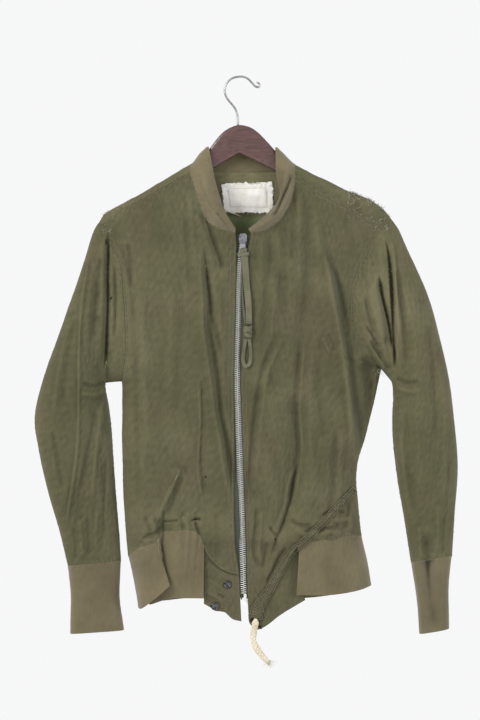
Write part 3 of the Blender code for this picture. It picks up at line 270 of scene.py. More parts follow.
def read(at, values, where):
    """Values held at the places `at`, joined by a smooth curve and read at each `where`."""
    at = np.asarray(at, float)
    values = np.asarray(values, float)
    where = np.clip(where, at[0], at[-1])
    slopes = np.gradient(values, at, axis=0)
    i = np.clip(np.searchsorted(at, where, side="right") - 1, 0, len(at) - 2)
    step = at[i + 1] - at[i]
    s = (where - at[i]) / step
    if values.ndim > 1:
        s = s[..., None]
        step = step[..., None]
    return ((2 * s**3 - 3 * s**2 + 1) * values[i] + (s**3 - 2 * s**2 + s) * step * slopes[i]
            + (3 * s**2 - 2 * s**3) * values[i + 1] + (s**3 - s**2) * step * slopes[i + 1])


def smooth(points, share):
    """Points at the shares given of the length of a smooth curve through the points."""
    points = np.asarray(points, float)
    dense = read(along(points), points, np.linspace(0, 1, 20 * len(points)))
    return on_line(share, along(dense), dense)


def cross_sections(path):
    """Two directions square to the path at each of its points, carried along it without twist."""
    tangent = unit(np.gradient(path, axis=0))
    one = np.cross(tangent[0], (0.31, 0.52, 0.8))
    ones = []
    for t in tangent:
        one = one - t * np.dot(one, t)
        one = one / np.linalg.norm(one)
        ones.append(one)
    ones = np.array(ones)
    return ones, np.cross(tangent, ones)


def tube_faces(rings, sides):
    """Faces of rings one after the other, with both ends closed."""
    faces = [(i * sides + k, i * sides + (k + 1) % sides,
              (i + 1) * sides + (k + 1) % sides, (i + 1) * sides + k)
             for i in range(rings - 1) for k in range(sides)]
    last = (rings - 1) * sides
    return faces + [tuple(range(sides))[::-1], tuple(range(last, last + sides))]


def tube_points(path, radius, sides):
    """Points of a tube round the path; the radius is one number, one a ring, or one a point."""
    one, other = cross_sections(path)
    angle = circle(sides)
    radius = np.broadcast_to(np.reshape(radius, (-1, 1)) if np.ndim(radius) == 1 else radius,
                             (len(path), sides))
    ring = (np.cos(angle)[None, :, None] * one[:, None]
            + np.sin(angle)[None, :, None] * other[:, None])
    return (path[:, None] + radius[..., None] * ring).reshape(-1, 3)


class Heap:
    """Many small like parts gathered into one mesh."""

    def __init__(self):
        self.vertices, self.faces, self.count = [], [], 0

    def add(self, vertices, faces):
        self.vertices.append(np.asarray(vertices, float))
        self.faces += [tuple(self.count + k for k in face) for face in faces]
        self.count += len(vertices)

    def points(self):
        return np.concatenate(self.vertices)


def fibres(heap, rng, root, direction, spread, length, radius, count):
    """Loose threads from about one place: each a thin tapered tube that bends as it goes."""
    for _ in range(count):
        start = np.asarray(root, float) + rng.normal(0, spread * 0.12, 3)
        aim = np.asarray(direction, float) + rng.normal(0, 0.35, 3)
        curl = rng.normal(0, 0.35, 3)
        long = length * rng.uniform(0.45, 1.1)
        share = even(5)[:, None]
        path = start + long * (share * aim + share**2 * curl) + (0, 0, -0.2 * long) * share**2
        thin = radius * (1 - 0.6 * even(5))
        heap.add(tube_points(path, thin, 3), tube_faces(6, 3))


def cord_finish():
    made = Finish("cotton cord", Roughness=0.92, Sheen_Weight=0.25, Sheen_Roughness=0.6)
    whole, *_ = made.place()
    soil = made.cloud(whole, 0.02, 3)
    fuzz = made.cloud(whole, 0.0009, 3, 0.7)
    colour = made.ramp(soil, (0.3, (0.56, 0.49, 0.35)), (0.65, (0.76, 0.70, 0.56)))
    colour = made.bright(colour, 0.86 + 0.28 * fuzz)
    return made.feed(Base_Color=colour, Normal=made.relief(fuzz, 0.0006, 0.7))


COTTON = cord_finish()
cord_path = smooth(CORD_PATH, even(150))
turn, run = circle(48)[None, :], even(150)[:, None] * CORD_RUN / BRAID_TURN
braid = np.maximum(np.cos(4 * turn + 2 * math.pi * run), np.cos(4 * turn - 2 * math.pi * run))
cord_girth = CORD_DIAMETER / 2 * (0.86 + 0.20 * braid)
cord_girth *= (1 - 0.16 * np.exp(-((run - 5.6) / 0.9) ** 2)
               + 0.05 * np.sin(run * 1.7) + 0.04 * np.cos(turn + run))
start = np.clip(even(150) * CORD_RUN / 7, 0, 1)[:, None]     # it swells as it leaves its hole
cord_girth *= 0.45 + 0.55 * start * start * (3 - 2 * start)
cord_girth *= 1 - 0.42 * np.clip(even(150) * 5 - 4, 0, 1)[:, None] ** 1.5
drawcord = piece("cord_braid", tube_points(cord_path, cord_girth, 48), tube_faces(151, 48),
                 [COTTON], hides=["drawcord"])
fringe = Heap()
loose = np.random.default_rng(4)
cord_way = unit(cord_path[-1] - cord_path[-6])
cut = cord_path[-1] - 1.5 * cord_way
ones, others = cross_sections(cord_path[-6:])
for _ in range(FRINGE_FIBRES):
    around = loose.uniform(0, 2 * math.pi)
    out = CORD_DIAMETER / 2 * math.sqrt(loose.uniform(0, 1)) * 0.55
    root = cut + out * (math.cos(around) * ones[-1] + math.sin(around) * others[-1])
    fibres(fringe, loose, root, cord_way + 0.09 * (root - cut), 2, 8, 0.32, 1)
cord_fringe = piece("cord_fringe", fringe.points(), fringe.faces, [COTTON])

# ----------------------------------------
# Fronts and back: cotton sateen of about 1.2 mm, piece-dyed olive and washed until it has faded,
# cut in three panels that hang from the shoulders. Each panel is a patch of one skin, worked out
# from the section at each height, the seam lines and the folds; then it is set back at its seams.
CLOTH_THICK = 1.2
SEAM_GAP = -1.0         # pieces lap this much, as a seam's cloth does
RIDGE_RADIUS = 11.0
SIDE_ROUNDNESS = 3.0


def table(columns, *rows):
    """A table's columns by name, each an array of its rows' values."""
    return dict(zip(columns.split(), np.array(rows, float).T))


def column_points(sheet, columns="x z"):
    """The named columns of a table as points."""
    return np.stack([sheet[name] for name in columns.split()], 1)


# Height of the shoulder ridge at each place across
RIDGE = table("x z",
    (-240, -254), (-230, -237.5), (-216, -218), (-206, -212.5), (-179, -196.5), (-150, -180.5),
    (-123, -164.5), (-98, -149), (-78, -138), (-40, -116), (0, -105), (40, -113), (70, -129),
    (88, -138.5), (104, -148), (136, -164.5), (171, -180.5), (208, -196.5), (227, -208),
    (240, -221), (249, -236), (256, -250))
# How far the front and the back stand out, by the drop below the ridge
DEPTH = table("drop front back",
    (0, 0, 0), (12, 0.5, 0.2), (30, 3, 1.2), (70, 11, 4.5), (130, 21, 9), (220, 30, 14),
    (350, 34, 18), (560, 34, 19), (760, 32, 18))
# Left and right edge of the flattened section; above the armpits it runs on into the sleeves
EDGES = table("z left right",
    (-860, -160, 214), (-850, -160, 214), (-813, -167.5, 210), (-790, -171.5, 203),
    (-767, -179, 198), (-741, -182, 195.5), (-709, -184.5, 192), (-677, -186.5, 189),
    (-645, -187.5, 186.5), (-613, -188, 189.5), (-581, -188.5, 199.5), (-549, -188.7, 207.5),
    (-517, -189, 215.5), (-487, -189.5, 222), (-467, -193, 226.5), (-430, -206, 243),
    (-360, -236, 277), (-300, -262, 302), (-240, -290, 327), (-90, -310, 345))
# The cloth puffs out over the ribbed hem and tucks in where the hem is sewn on
PUFF = table("z out",
    (-860, -3), (-765, -3), (-748, -1.5), (-732, 3), (-712, 6), (-680, 4), (-620, 0.5),
    (-560, 0), (-90, 0))
# Half of the front opening, from the zip's middle to the cloth's edge
OPENING = table("z half",
    (-900, 6), (-600, 6), (-400, 6), (-350, 6), (-325, 6.1), (-300, 7), (-275, 9.5),
    (-250, 12.5), (-225, 12.5))
# The right front has been pulled off its zip tape near the foot, so the tape shows there
PULLED = table("z more",
    (-900, 0), (-800, 0.4), (-780, 2.5), (-755, 5.5), (-720, 6.5), (-660, 4.5), (-600, 2.2),
    (-540, 0.6), (-480, 0), (-200, 0))
ZIP_LINE = table("x z",
    (5, -240), (4.6, -262), (1.5, -290), (-1, -330), (-2.4, -394), (-4, -450), (-4.2, -486),
    (-2.6, -552), (-0.3, -619), (2, -686), (4.2, -754), (6.6, -830), (8.5, -870))

# Heights of the armpits, of the hem at the sides, and of the front edges' ends
RIGHT_SIDE, LEFT_SIDE = (-487, -767), (-467, -733)
RIGHT_EDGE, LEFT_EDGE = (-250, -795), (-250, -856)
# Seam lines as seen from the front
RIGHT_NECK = table("x z", (-8, -250), (-29, -243), (-51, -231), (-66, -195), (-80, -152))
LEFT_NECK = table("x z", (17, -250), (32, -248), (59, -233), (78, -205), (86, -178), (88.5, -161))
RIGHT_SHOULDER = table("x z", (-80, -152), (-112, -170), (-160, -197), (-200, -222), (-208, -246))
LEFT_SHOULDER = table("x z", (88.5, -161), (118, -182), (160, -204), (200, -228), (222, -246))
BACK_NECK = table("x z face",
    (-80, -152, -1), (-79.5, -144, -1), (-77, -142, 1), (-70, -147.5, 1), (-56, -150, 1),
    (-30, -151, 1), (1, -152, 1), (32, -151, 1), (60, -150, 1), (78, -147.5, 1), (85.5, -142, 1),
    (88, -147, -1), (88.5, -161, -1))
RIGHT_ARMHOLE = table("x z",
    (-208, -246), (-205, -270), (-193, -296), (-187, -344), (-184, -389), (-184, -445),
    (-189.5, -487))
LEFT_ARMHOLE = table("x z",
    (222, -246), (203, -284), (188, -322), (180, -359), (183.5, -397), (196, -423), (226.5, -467))
RIGHT_ARMHOLE_BACK = table("x z",
    (-229.5, -237), (-214, -262), (-202, -300), (-195, -360), (-190, -425), (-189.5, -487))
LEFT_ARMHOLE_BACK = table("x z",
    (248.5, -235.5), (236, -262), (224, -300), (214, -360), (216, -425), (226.5, -467))
RIGHT_RIB = table("x z",
    (-179, -767), (-160, -752), (-134, -743), (-123, -727), (-110, -726), (-80, -724),
    (-68, -729), (-58, -749))
RIGHT_FLY = table("x z",
    (-58, -749), (-52, -762), (-42, -775), (-28, -787), (-12, -793), (-0.5, -795))
LEFT_RIB = table("x z",
    (194.5, -733), (168, -734), (144, -742), (134, -739), (116, -743), (95, -743))
LEFT_CASING = table("x z",
    (95, -743), (83, -756), (69, -779), (57, -802), (42, -826), (24, -848), (12.5, -856))
BACK_HEM = table("x z", (-179, -767), (-120, -752), (0, -746), (120, -742), (194.5, -733))

# Folds and creases: how far each lifts out (+) or sinks in (-), how far it spreads to the left and
# to the right of its line, and the line as seen from the front
FRONT_FOLDS = [
    # Large folds of the right front and the hollow that the ribbed hem draws in
    (-3, 8, 12, [(-62, -211), (-48, -245), (-28, -315)]),
    (10, 34, 16, [(-66, -296), (-62, -358), (-57, -410), (-48, -474), (-37, -547), (-28, -611),
     (-19, -671), (-10, -731), (-4, -794)]),
    (-5, 26, 22, [(-140, -330), (-132, -430), (-126, -540), (-128, -640)]),
    (5, 12, 14, [(-94, -620), (-109, -656), (-123, -685), (-132, -712)]),
    (-9, 9, 16, [(-122, -700), (-123, -727), (-116, -757), (-109, -794), (-108, -850)]),
    # Large folds of the left front
    (-6, 16, 16, [(97, -225), (104, -290), (104, -346), (97, -430), (92, -500)]),
    (-4, 13, 13, [(68, -290), (68, -360), (60, -440), (52, -520)]),
    (13, 36, 12, [(137, -283), (147, -334), (157, -384), (168, -435), (176, -499), (181, -576),
     (183, -626)]),
    (-12, 12, 16, [(196, -440), (204, -499), (197, -565), (189, -613)]),
    (-5, 14, 15, [(32, -480), (24, -560), (17, -640), (13, -690)]),
    (-9, 15, 15, [(91, -500), (91, -590), (84, -650), (71, -702), (57, -745)]),
    # Creases of the right front: from the collar, the edge of the drape, then lower down
    (-3.6, 1.7, 5, [(-63, -206), (-54, -226), (-44, -258), (-33, -292), (-29, -312)]),
    (1.2, 6, 4, [(-70, -214), (-60, -240), (-50, -268), (-42, -300)]),
    (1.6, 7, 4, [(-80, -176), (-78, -220), (-74, -270), (-70, -320)]),
    (-1.8, 4, 6, [(-88, -180), (-87, -230), (-84, -282), (-80, -340)]),
    (4.6, 8, 3.2, [(-66, -254), (-63, -306), (-60, -360), (-59.5, -392), (-54, -435),
     (-48, -477), (-41, -536), (-30, -591), (-22, -646), (-16.5, -676)]),
    (-7.5, 2.6, 6.5, [(-59, -254), (-55, -306), (-51.5, -360), (-51, -392), (-45.5, -435),
     (-39.5, -477), (-32.5, -536), (-21.5, -591), (-14, -646), (-9.5, -676)]),
    (-2.8, 4, 5, [(-56, -300), (-52, -323), (-43.5, -393), (-37, -413), (-29, -450)]),
    (1.8, 6, 5, [(-36, -330), (-31, -400), (-27, -460), (-20, -520)]),
    (1.5, 2.2, 2.6, [(-67, -488), (-64, -554), (-67.5, -627), (-61, -675), (-58.5, -698)]),
    (1.8, 3, 4, [(-95, -625), (-108, -652), (-119, -675), (-130, -709)]),
    (-2.2, 6, 5, [(-84, -618), (-97, -650), (-110, -683), (-118, -712)]),
    (-1.6, 8, 8, [(-98, -300), (-97, -390), (-101, -480), (-104, -560)]),
    (1.4, 9, 9, [(-114, -330), (-113, -420), (-116, -500), (-117, -590)]),
    (1.5, 7, 7, [(-158, -330), (-156, -430), (-152, -520), (-150, -610)]),
    (-1.6, 6, 6, [(-170, -400), (-167, -500), (-165, -600), (-163, -680)]),
    (-1.8, 5, 5, [(-193, -262), (-180, -300), (-172, -350), (-170, -400)]),
    (1.6, 4, 5, [(-186, -300), (-178, -350), (-176, -400), (-176, -450)]),
    (-1.6, 4, 4, [(-152, -700), (-146, -722), (-139, -744)]),
    (1.5, 4, 4, [(-144, -698), (-137, -720), (-130, -740)]),
    (-1.5, 3.5, 3.5, [(-92, -690), (-93, -708), (-90, -726)]),
    (1.3, 3.5, 3.5, [(-84, -694), (-84, -712), (-81, -726)]),
    (-1.8, 3, 4, [(-72, -690), (-70, -712), (-64, -735)]),
    (-1.5, 5, 5, [(-40, -690), (-36, -730), (-34, -778)]),
    # Creases of the left front: a fan from the collar, the side fold, then down to the casing
    (-2.2, 6, 5, [(86, -172), (86, -205), (85, -250), (83, -300)]),
    (1.8, 5, 5, [(93, -176), (95, -220), (96, -270), (94, -330)]),
    (-2.6, 5, 7, [(101, -176), (108, -220), (110, -254), (107, -306), (100, -404)]),
    (1.6, 7, 7, [(118, -190), (124, -240), (125, -300), (122, -370)]),
    (-1.6, 5, 5, [(76, -215), (73, -260), (72, -320), (68, -400)]),
    (1.5, 5, 5, [(62, -236), (60, -290), (57, -350), (50, -430)]),
    (-1.6, 5, 5, [(48, -244), (46, -300), (42, -360), (38, -420)]),
    (1.4, 5, 5, [(34, -252), (32, -310), (29, -380), (25, -440)]),
    (4.2, 8, 3.2, [(137, -283), (147, -334), (153, -372), (160, -411), (169, -462),
     (174.5, -508), (180, -554), (184, -609), (185, -626)]),
    (-6.5, 3.5, 7, [(146, -292), (156, -336), (162, -374), (168, -411), (177, -462), (183, -508),
     (188, -554), (190, -600)]),
    (-3.2, 4, 6, [(62, -400), (48, -436), (37, -462), (24, -536), (16, -610), (11.5, -675)]),
    (1.8, 5, 4, [(72, -400), (58, -440), (46, -470), (34, -540), (27, -610), (22, -670)]),
    (-3.0, 4, 5, [(96, -406), (92, -462), (88, -536), (92, -590), (84.5, -646), (78, -676),
     (70, -702)]),
    (1.7, 3, 2.6, [(103, -420), (99, -470), (95, -536), (98.5, -590), (91, -646), (84, -680)]),
    (-1.8, 6, 6, [(128, -406), (125, -450), (124.5, -500), (128, -536), (131, -590)]),
    (1.6, 6, 6, [(114, -430), (111, -500), (112, -560), (113, -620)]),
    (1.9, 2.6, 2.6, [(131, -414), (137, -428), (144, -444)]),
    (-1.6, 3, 3, [(140, -408), (146, -424), (151, -440)]),
    (-2.0, 5, 5, [(152, -560), (150, -620), (146, -670), (139, -712)]),
    (1.8, 5, 5, [(163, -560), (161, -620), (158, -675), (152, -716)]),
    (-2.4, 3.5, 3.5, [(80, -706), (92, -714), (104, -716), (118, -717)]),
    (1.6, 3.5, 3.5, [(86, -722), (98, -727), (112, -728)]),
    (-2.2, 3, 3, [(122, -728), (130, -716), (140, -704)]),
    (1.8, 3, 3, [(131, -734), (139, -722), (149, -710)]),
    (-1.8, 3, 3, [(142, -736), (149, -724), (158, -712)]),
    (-2.2, 4, 4, [(168, -724), (172, -700), (173, -676)]),
    (1.6, 5, 5, [(176, -726), (180, -700), (181, -676)]),
    (-3.0, 5, 5, [(210, -474), (209, -510), (204, -556), (196, -604)]),
    # Sharp creases of the left front: beside the zip's lower end, over the casing and the rib
    (-2.6, 3.0, 12, [(137, -262), (146, -312), (156, -362), (166, -412), (176, -470),
     (184, -530), (187, -590)]),
    (1.5, 7, 2.8, [(131, -262), (140, -312), (150, -362), (160, -412), (170, -470), (178, -530),
     (181, -590)]),
    (-3.6, 2, 4, [(94, -610), (84, -652), (79.5, -677), (68.8, -709), (56, -742), (50, -768)]),
    (2.4, 4, 2.2, [(88, -620), (78, -656), (73, -682), (62, -712), (50, -740)]),
    (-2.6, 1.6, 3, [(46, -718), (52, -727), (57, -733)]),
    (-4.0, 2.2, 3.5, [(76, -748), (64, -764), (51, -789), (40, -812)]),
    (-2.8, 3, 4, [(26, -680), (25, -715), (21, -752), (27, -786)]),
    (2.4, 4, 3, [(34, -690), (34, -724), (31, -756), (36, -780)]),
    (-2.2, 3, 3, [(44, -740), (40, -764), (36, -786)]),
    (3.2, 4, 4, [(96, -736), (112, -730), (128, -731), (146, -727), (166, -729)]),
    (-3.6, 3, 3, [(100, -727), (116, -722), (132, -722), (150, -718)]),
    (2.6, 3.5, 3.5, [(120, -712), (138, -706), (158, -708), (182, -704)]),
    (-2.6, 3, 3, [(128, -700), (148, -694), (170, -696)]),
    (-1.0, 3, 4, [(150, -300), (160, -352), (168, -396)]),
    # Sharp creases of the right front: over the rib, at the fly and beside the armhole
    (-4.0, 1.8, 2.4, [(-79, -709), (-70.6, -705), (-62, -707)]),
    (-3.0, 2.2, 4, [(-74, -706), (-66, -730), (-60, -752)]),
    (2.4, 4, 3, [(-92, -700), (-84, -716), (-80, -726)]),
    (-3.8, 2, 2.4, [(-158, -737), (-141, -730), (-132, -726), (-127, -716)]),
    (-3.6, 1.8, 2.2, [(-124, -709), (-107, -709.5), (-97, -708)]),
    (-3.6, 2, 3, [(-122.6, -690), (-123, -711), (-121, -731)]),
    (2.6, 3, 3, [(-156, -743), (-138, -738), (-127, -734)]),
    (3.0, 1.8, 2.4, [(-95, -622), (-107.4, -657.4), (-125.8, -691), (-133, -716)]),
    (-2.6, 2, 5, [(-62, -474), (-60, -540), (-62, -610), (-56, -680)]),
    (-2.4, 3, 4, [(-181, -262), (-176, -300), (-174, -342)]),
]

# The back hangs flatter, with like folds of its own
BACK_FOLDS = [
    (-7, 26, 22, [(-118, -300), (-112, -420), (-108, -560), (-112, -690)]),
    (5, 20, 28, [(-58, -330), (-50, -450), (-44, -580), (-46, -700)]),
    (-5, 24, 20, [(4, -260), (2, -400), (8, -560), (6, -690)]),
    (7, 30, 18, [(70, -320), (82, -440), (88, -570), (84, -700)]),
    (-8, 16, 20, [(150, -330), (156, -450), (150, -580), (140, -690)]),
    (-2.6, 5, 6, [(-150, -240), (-136, -300), (-128, -360), (-124, -430)]),
    (2.0, 6, 6, [(-136, -236), (-122, -300), (-114, -370), (-110, -440)]),
    (-2.2, 5, 5, [(-44, -200), (-40, -270), (-36, -350), (-36, -430)]),
    (1.8, 6, 5, [(-26, -210), (-24, -290), (-22, -380), (-24, -470)]),
    (-2.4, 4, 6, [(46, -190), (50, -260), (56, -340), (60, -420)]),
    (2.2, 6, 5, [(104, -230), (104, -310), (102, -400), (104, -500)]),
    (-3.0, 5, 5, [(122, -240), (124, -320), (122, -420), (120, -520)]),
    (-3.4, 4, 6, [(-82, -420), (-80, -500), (-78, -590), (-82, -680)]),
    (2.2, 6, 4, [(-92, -440), (-90, -520), (-88, -600), (-94, -690)]),
    (3.0, 7, 4, [(28, -400), (30, -490), (34, -590), (30, -690)]),
    (-3.2, 4, 5, [(38, -410), (40, -500), (44, -600), (40, -690)]),
    (-2.4, 5, 5, [(116, -560), (112, -620), (110, -670), (112, -712)]),
    (2.0, 5, 5, [(126, -560), (124, -620), (122, -676), (124, -716)]),
    (-2.0, 3.5, 3.5, [(-150, -690), (-144, -715), (-140, -740)]),
    (1.8, 3.5, 3.5, [(-138, -690), (-133, -716), (-130, -740)]),
    (-2.0, 3.5, 3.5, [(-70, -700), (-68, -720), (-64, -742)]),
    (-2.0, 3.5, 3.5, [(-14, -700), (-10, -720), (-8, -740)]),
    (1.8, 3.5, 3.5, [(2, -700), (5, -722), (6, -740)]),
    (-2.0, 3.5, 3.5, [(58, -696), (60, -716), (62, -738)]),
    (1.7, 3.5, 3.5, [(164, -680), (166, -704), (168, -728)]),
    (-2.2, 4, 4, [(-186, -470), (-170, -520), (-160, -580)]),
    (1.8, 4, 4, [(214, -470), (196, -520), (184, -580)]),
]


def seam(line, share):
    """Places of a seam table's curve at those shares of its length, as (x, z)."""
    return smooth(column_points(line), share)


def boxy(values, power):
    """Sines or cosines of a round section pushed out towards those of a box."""
    return np.sign(values) * np.abs(values) ** power


angles = np.linspace(-math.pi / 2, math.pi / 2, 6001)
section_x = boxy(np.sin(angles), 2 / SIDE_ROUNDNESS)
section_y = np.abs(np.cos(angles)) ** (2 / SIDE_ROUNDNESS)
section_run = along(np.stack([section_x, 0.25 * section_y], 1)) * 2 - 1


def across(q):
    """Place across the flattened section, -1 to 1, at the share q of its length."""
    return np.interp(q, section_run, section_x)


def deep(q):
    """Depth of the flattened section there, 0 at its sides and 1 in the middle."""
    return np.interp(q, section_run, section_y)


def fold_rise(x, z, folds, cells=110):
    """Sum of what the folds lift the cloth at each point seen from the front."""
    total = np.zeros_like(x)
    for rise, left, right, points in folds:
        line = smooth(points, even(cells))
        reach = 3 * max(left, right)
        near = ((x > line[:, 0].min() - reach) & (x < line[:, 0].max() + reach)
                & (z > line[:, 1].min() - reach) & (z < line[:, 1].max() + reach))
        dx, dz = x[near][:, None] - line[:, 0], z[near][:, None] - line[:, 1]
        closest = (dx**2 + dz**2).argmin(1)
        row = np.arange(len(closest))
        dx, dz = dx[row, closest], dz[row, closest]
        way = np.gradient(line, axis=0)
        pace = np.linalg.norm(way, axis=1)
        way /= pace[:, None]
        aside = dx * way[closest, 1] - dz * way[closest, 0]
        ahead = dx * way[closest, 0] + dz * way[closest, 1]
        beyond = np.where((closest > 0) & (closest < cells), 0, ahead)
        width = np.where(dx < 0, left, right)
        at = np.clip(closest + ahead / pace[closest], 0, cells)
        end = np.minimum(at, cells - at) / cells
        fade = np.clip(end / 0.16, 0, 1)
        total[near] += (rise * fade * fade * (3 - 2 * fade)
                        * np.exp(-(aside**2 + beyond**2) / width**2))
    return total


def middle_and_half(z):
    left, right = (read(EDGES["z"], EDGES[edge], z) for edge in ("left", "right"))
    return (left + right) / 2, (right - left) / 2


def skin(places):
    """Points on the skin from (q, w): q across the section, w down the back (+) or front (-)."""
    q, w = places[..., 0], places[..., 1]
    quarter = RIDGE_RADIUS * math.pi / 2
    angle = np.minimum(np.abs(w), quarter) / RIDGE_RADIUS
    drop = RIDGE_RADIUS * (1 - np.cos(angle)) + np.maximum(np.abs(w) - quarter, 0)
    out = RIDGE_RADIUS * np.sin(angle)
    x = 220 * across(q)
    for _ in range(30):
        z = read(RIDGE["x"], RIDGE["z"], x) - drop
        middle, half = middle_and_half(z)
        x = middle + half * across(q)
    puff = out + read(PUFF["z"], PUFF["out"], z)
    lean = np.minimum(1, 1.6 * deep(q)) * np.clip(drop / 40, 0, 1)
    front, back = ((read(DEPTH["drop"], DEPTH[face], drop) + puff) * deep(q)
                   + lean * fold_rise(x, z, folds)
                   for face, folds in (("front", FRONT_FOLDS), ("back", BACK_FOLDS)))
    return np.stack([x, np.where(w < 0, -front, back), z], -1)


def place(points, face, edge=0):
    """Seam points (x, z) as (q, w) places on the skin; edge -1 or 1 pins them to its side."""
    x, z = points[:, 0], points[:, 1]
    middle, half = middle_and_half(z)
    q = np.full(len(x), float(edge))
    if not edge:
        q = np.interp((x - middle) / half, section_x, section_run)
    drop = np.maximum(read(RIDGE["x"], RIDGE["z"], x) - z, 0)
    bent = RIDGE_RADIUS * np.arccos(np.clip(1 - drop / RIDGE_RADIUS, 0, 1))
    w = np.where(drop < RIDGE_RADIUS, bent, RIDGE_RADIUS * (math.pi / 2 - 1) + drop)
    return np.stack([q, face * w], 1)


def pinned(line, first=None, last=None):
    """The line with its ends moved to the points given, the move dying out along it."""
    share = along(line * (100, 1))[:, None]
    if first is not None:
        line = line + (first - line[0]) * (1 - share) ** 12
    if last is not None:
        line = line + (last - line[-1]) * share ** 12
    return line


def joined(*lines):
    """Lines end to end, with the shared points once."""
    return np.concatenate([lines[0]] + [line[1:] for line in lines[1:]])


def steps(cells, fine):
    """Places from 0 to a number of cells, finely spaced, and closer still beside both ends."""
    close = np.array([0.12, 0.4]) / fine
    return np.unique(np.concatenate([np.arange(cells * fine + 1) / fine, close, cells - close]))


def part(places, start, cells):
    """Those of the places that lie in the cells from start on, as shares of them."""
    return (places[(places >= start) & (places <= start + cells)] - start) / cells


def patch(top, low, left, right, columns):
    """Grid filled in between four edge lines that share their corners."""
    u = (columns / columns[-1])[None, :, None]
    v = sum((side[:, 1] - side[0, 1]) / (side[-1, 1] - side[0, 1]) for side in (left, right)) / 2
    v = v[:, None, None]
    bend_left = left[:, None] - (1 - v) * left[0] - v * left[-1]
    bend_right = right[:, None] - (1 - v) * right[0] - v * right[-1]
    return (1 - v) * top[None] + v * low[None] + (1 - u)**3 * bend_left + u**3 * bend_right


def side_line(ends, edge, share):
    """Side seam from armpit to hem on the section's edge."""
    z = ends[0] + (ends[1] - ends[0]) * share
    middle, half = middle_and_half(z)
    return place(np.stack([middle + edge * half, z], 1), -1, edge)


def zip_middle(z):
    return read(-ZIP_LINE["z"], ZIP_LINE["x"], -np.asarray(z, float))


def zip_edge(ends, side, share):
    """Front edge of the cloth beside the zip, from the neck down."""
    z = ends[0] + (ends[1] - ends[0]) * share
    gap = read(OPENING["z"], OPENING["half"], z)
    if side < 0:
        gap = gap + read(PULLED["z"], PULLED["more"], z)
    return place(np.stack([zip_middle(z) + side * gap, z], 1), -1)


def back_armhole(line, share):
    """Armhole of the back: its top on the shoulder's ridge, and its line from there down."""
    dense = place(seam(line, even(400)), 1)
    dense[0, 1] = 0
    return dense[0], on_line(share ** 1.35, even(400), dense)


FRONT_COLUMNS = steps(15, 11)      # 9 cells of shoulder and 6 of neck
FRONT_ROWS = steps(21, 8)          # 10 cells of armhole and 11 of side seam
BACK_COLUMNS = steps(30, 4)        # 9 cells of shoulder, 12 of neck and 9 of shoulder
BACK_ROWS = steps(26, 6)           # 3 cells over the shoulder's tip, 12 of armhole and 11 of side

arm, side = part(FRONT_ROWS, 0, 10), part(FRONT_ROWS, 10, 11)
right_side, left_side = side_line(RIGHT_SIDE, -1, side), side_line(LEFT_SIDE, 1, side)
right_tip, right_neck_point = place(seam(RIGHT_SHOULDER, np.array([1, 0])), -1)
left_neck_point, left_tip = place(seam(LEFT_SHOULDER, np.array([0, 1])), -1)
right_zip = zip_edge(RIGHT_EDGE, -1, FRONT_ROWS / 21)
left_zip = zip_edge(LEFT_EDGE, 1, FRONT_ROWS / 21)
grids = {}
grids["front_right"] = skin(patch(
    joined(place(seam(RIGHT_SHOULDER, 1 - part(FRONT_COLUMNS, 0, 9)), -1),
           pinned(place(seam(RIGHT_NECK, 1 - part(FRONT_COLUMNS, 9, 6)), -1), right_neck_point,
                  right_zip[0])),
    joined(pinned(place(seam(RIGHT_RIB, part(FRONT_COLUMNS, 0, 9)), -1), right_side[-1]),
           pinned(place(seam(RIGHT_FLY, part(FRONT_COLUMNS, 9, 6)), -1), None, right_zip[-1])),
    joined(pinned(place(seam(RIGHT_ARMHOLE, arm), -1), right_tip, right_side[0]), right_side),
    right_zip, FRONT_COLUMNS))
grids["front_left"] = skin(patch(
    joined(pinned(place(seam(LEFT_NECK, part(FRONT_COLUMNS, 0, 6)), -1), left_zip[0],
                  left_neck_point),
           place(seam(LEFT_SHOULDER, part(FRONT_COLUMNS, 6, 9)), -1)),
    joined(pinned(place(seam(LEFT_CASING, 1 - part(FRONT_COLUMNS, 0, 7)), -1), left_zip[-1]),
           pinned(place(seam(LEFT_RIB, 1 - part(FRONT_COLUMNS, 7, 8)), -1), None, left_side[-1])),
    left_zip,
    joined(pinned(place(seam(LEFT_ARMHOLE, arm), -1), left_tip, left_side[0]), left_side),
    FRONT_COLUMNS))


def back_side(line, tip_point, front_side):
    """Outer edge of the back: over the shoulder's tip, down the armhole, then the side seam."""
    over, below = back_armhole(line, part(BACK_ROWS, 3, 12))
    down = front_side * (1, -1)
    tip = tip_point + part(BACK_ROWS, 0, 3)[:, None] * (over - tip_point)
    return joined(tip, pinned(below, None, down[0]), down)


def back_neck(share):
    """Neck seam of the back piece, from the front of one shoulder over to the other."""
    raw = place(column_points(BACK_NECK), 1)
    raw[:, 1] *= BACK_NECK["face"]
    dense = smooth(raw * (100, 1), even(400)) / (100, 1)
    return on_line(0.6 * share + 0.2 * (1 - np.cos(math.pi * share)), even(400), dense)


side = part(BACK_ROWS, 15, 11)
right_back = back_side(RIGHT_ARMHOLE_BACK, right_tip, side_line(RIGHT_SIDE, -1, side))
left_back = back_side(LEFT_ARMHOLE_BACK, left_tip, side_line(LEFT_SIDE, 1, side))
grids["back"] = skin(patch(
    joined(place(seam(RIGHT_SHOULDER, 1 - part(BACK_COLUMNS, 0, 9)), -1),
           pinned(back_neck(part(BACK_COLUMNS, 9, 12)), right_neck_point, left_neck_point),
           place(seam(LEFT_SHOULDER, part(BACK_COLUMNS, 21, 9)), -1)),
    pinned(place(seam(BACK_HEM, BACK_COLUMNS / 30), 1), right_back[-1], left_back[-1]),
    right_back, left_back, BACK_COLUMNS))


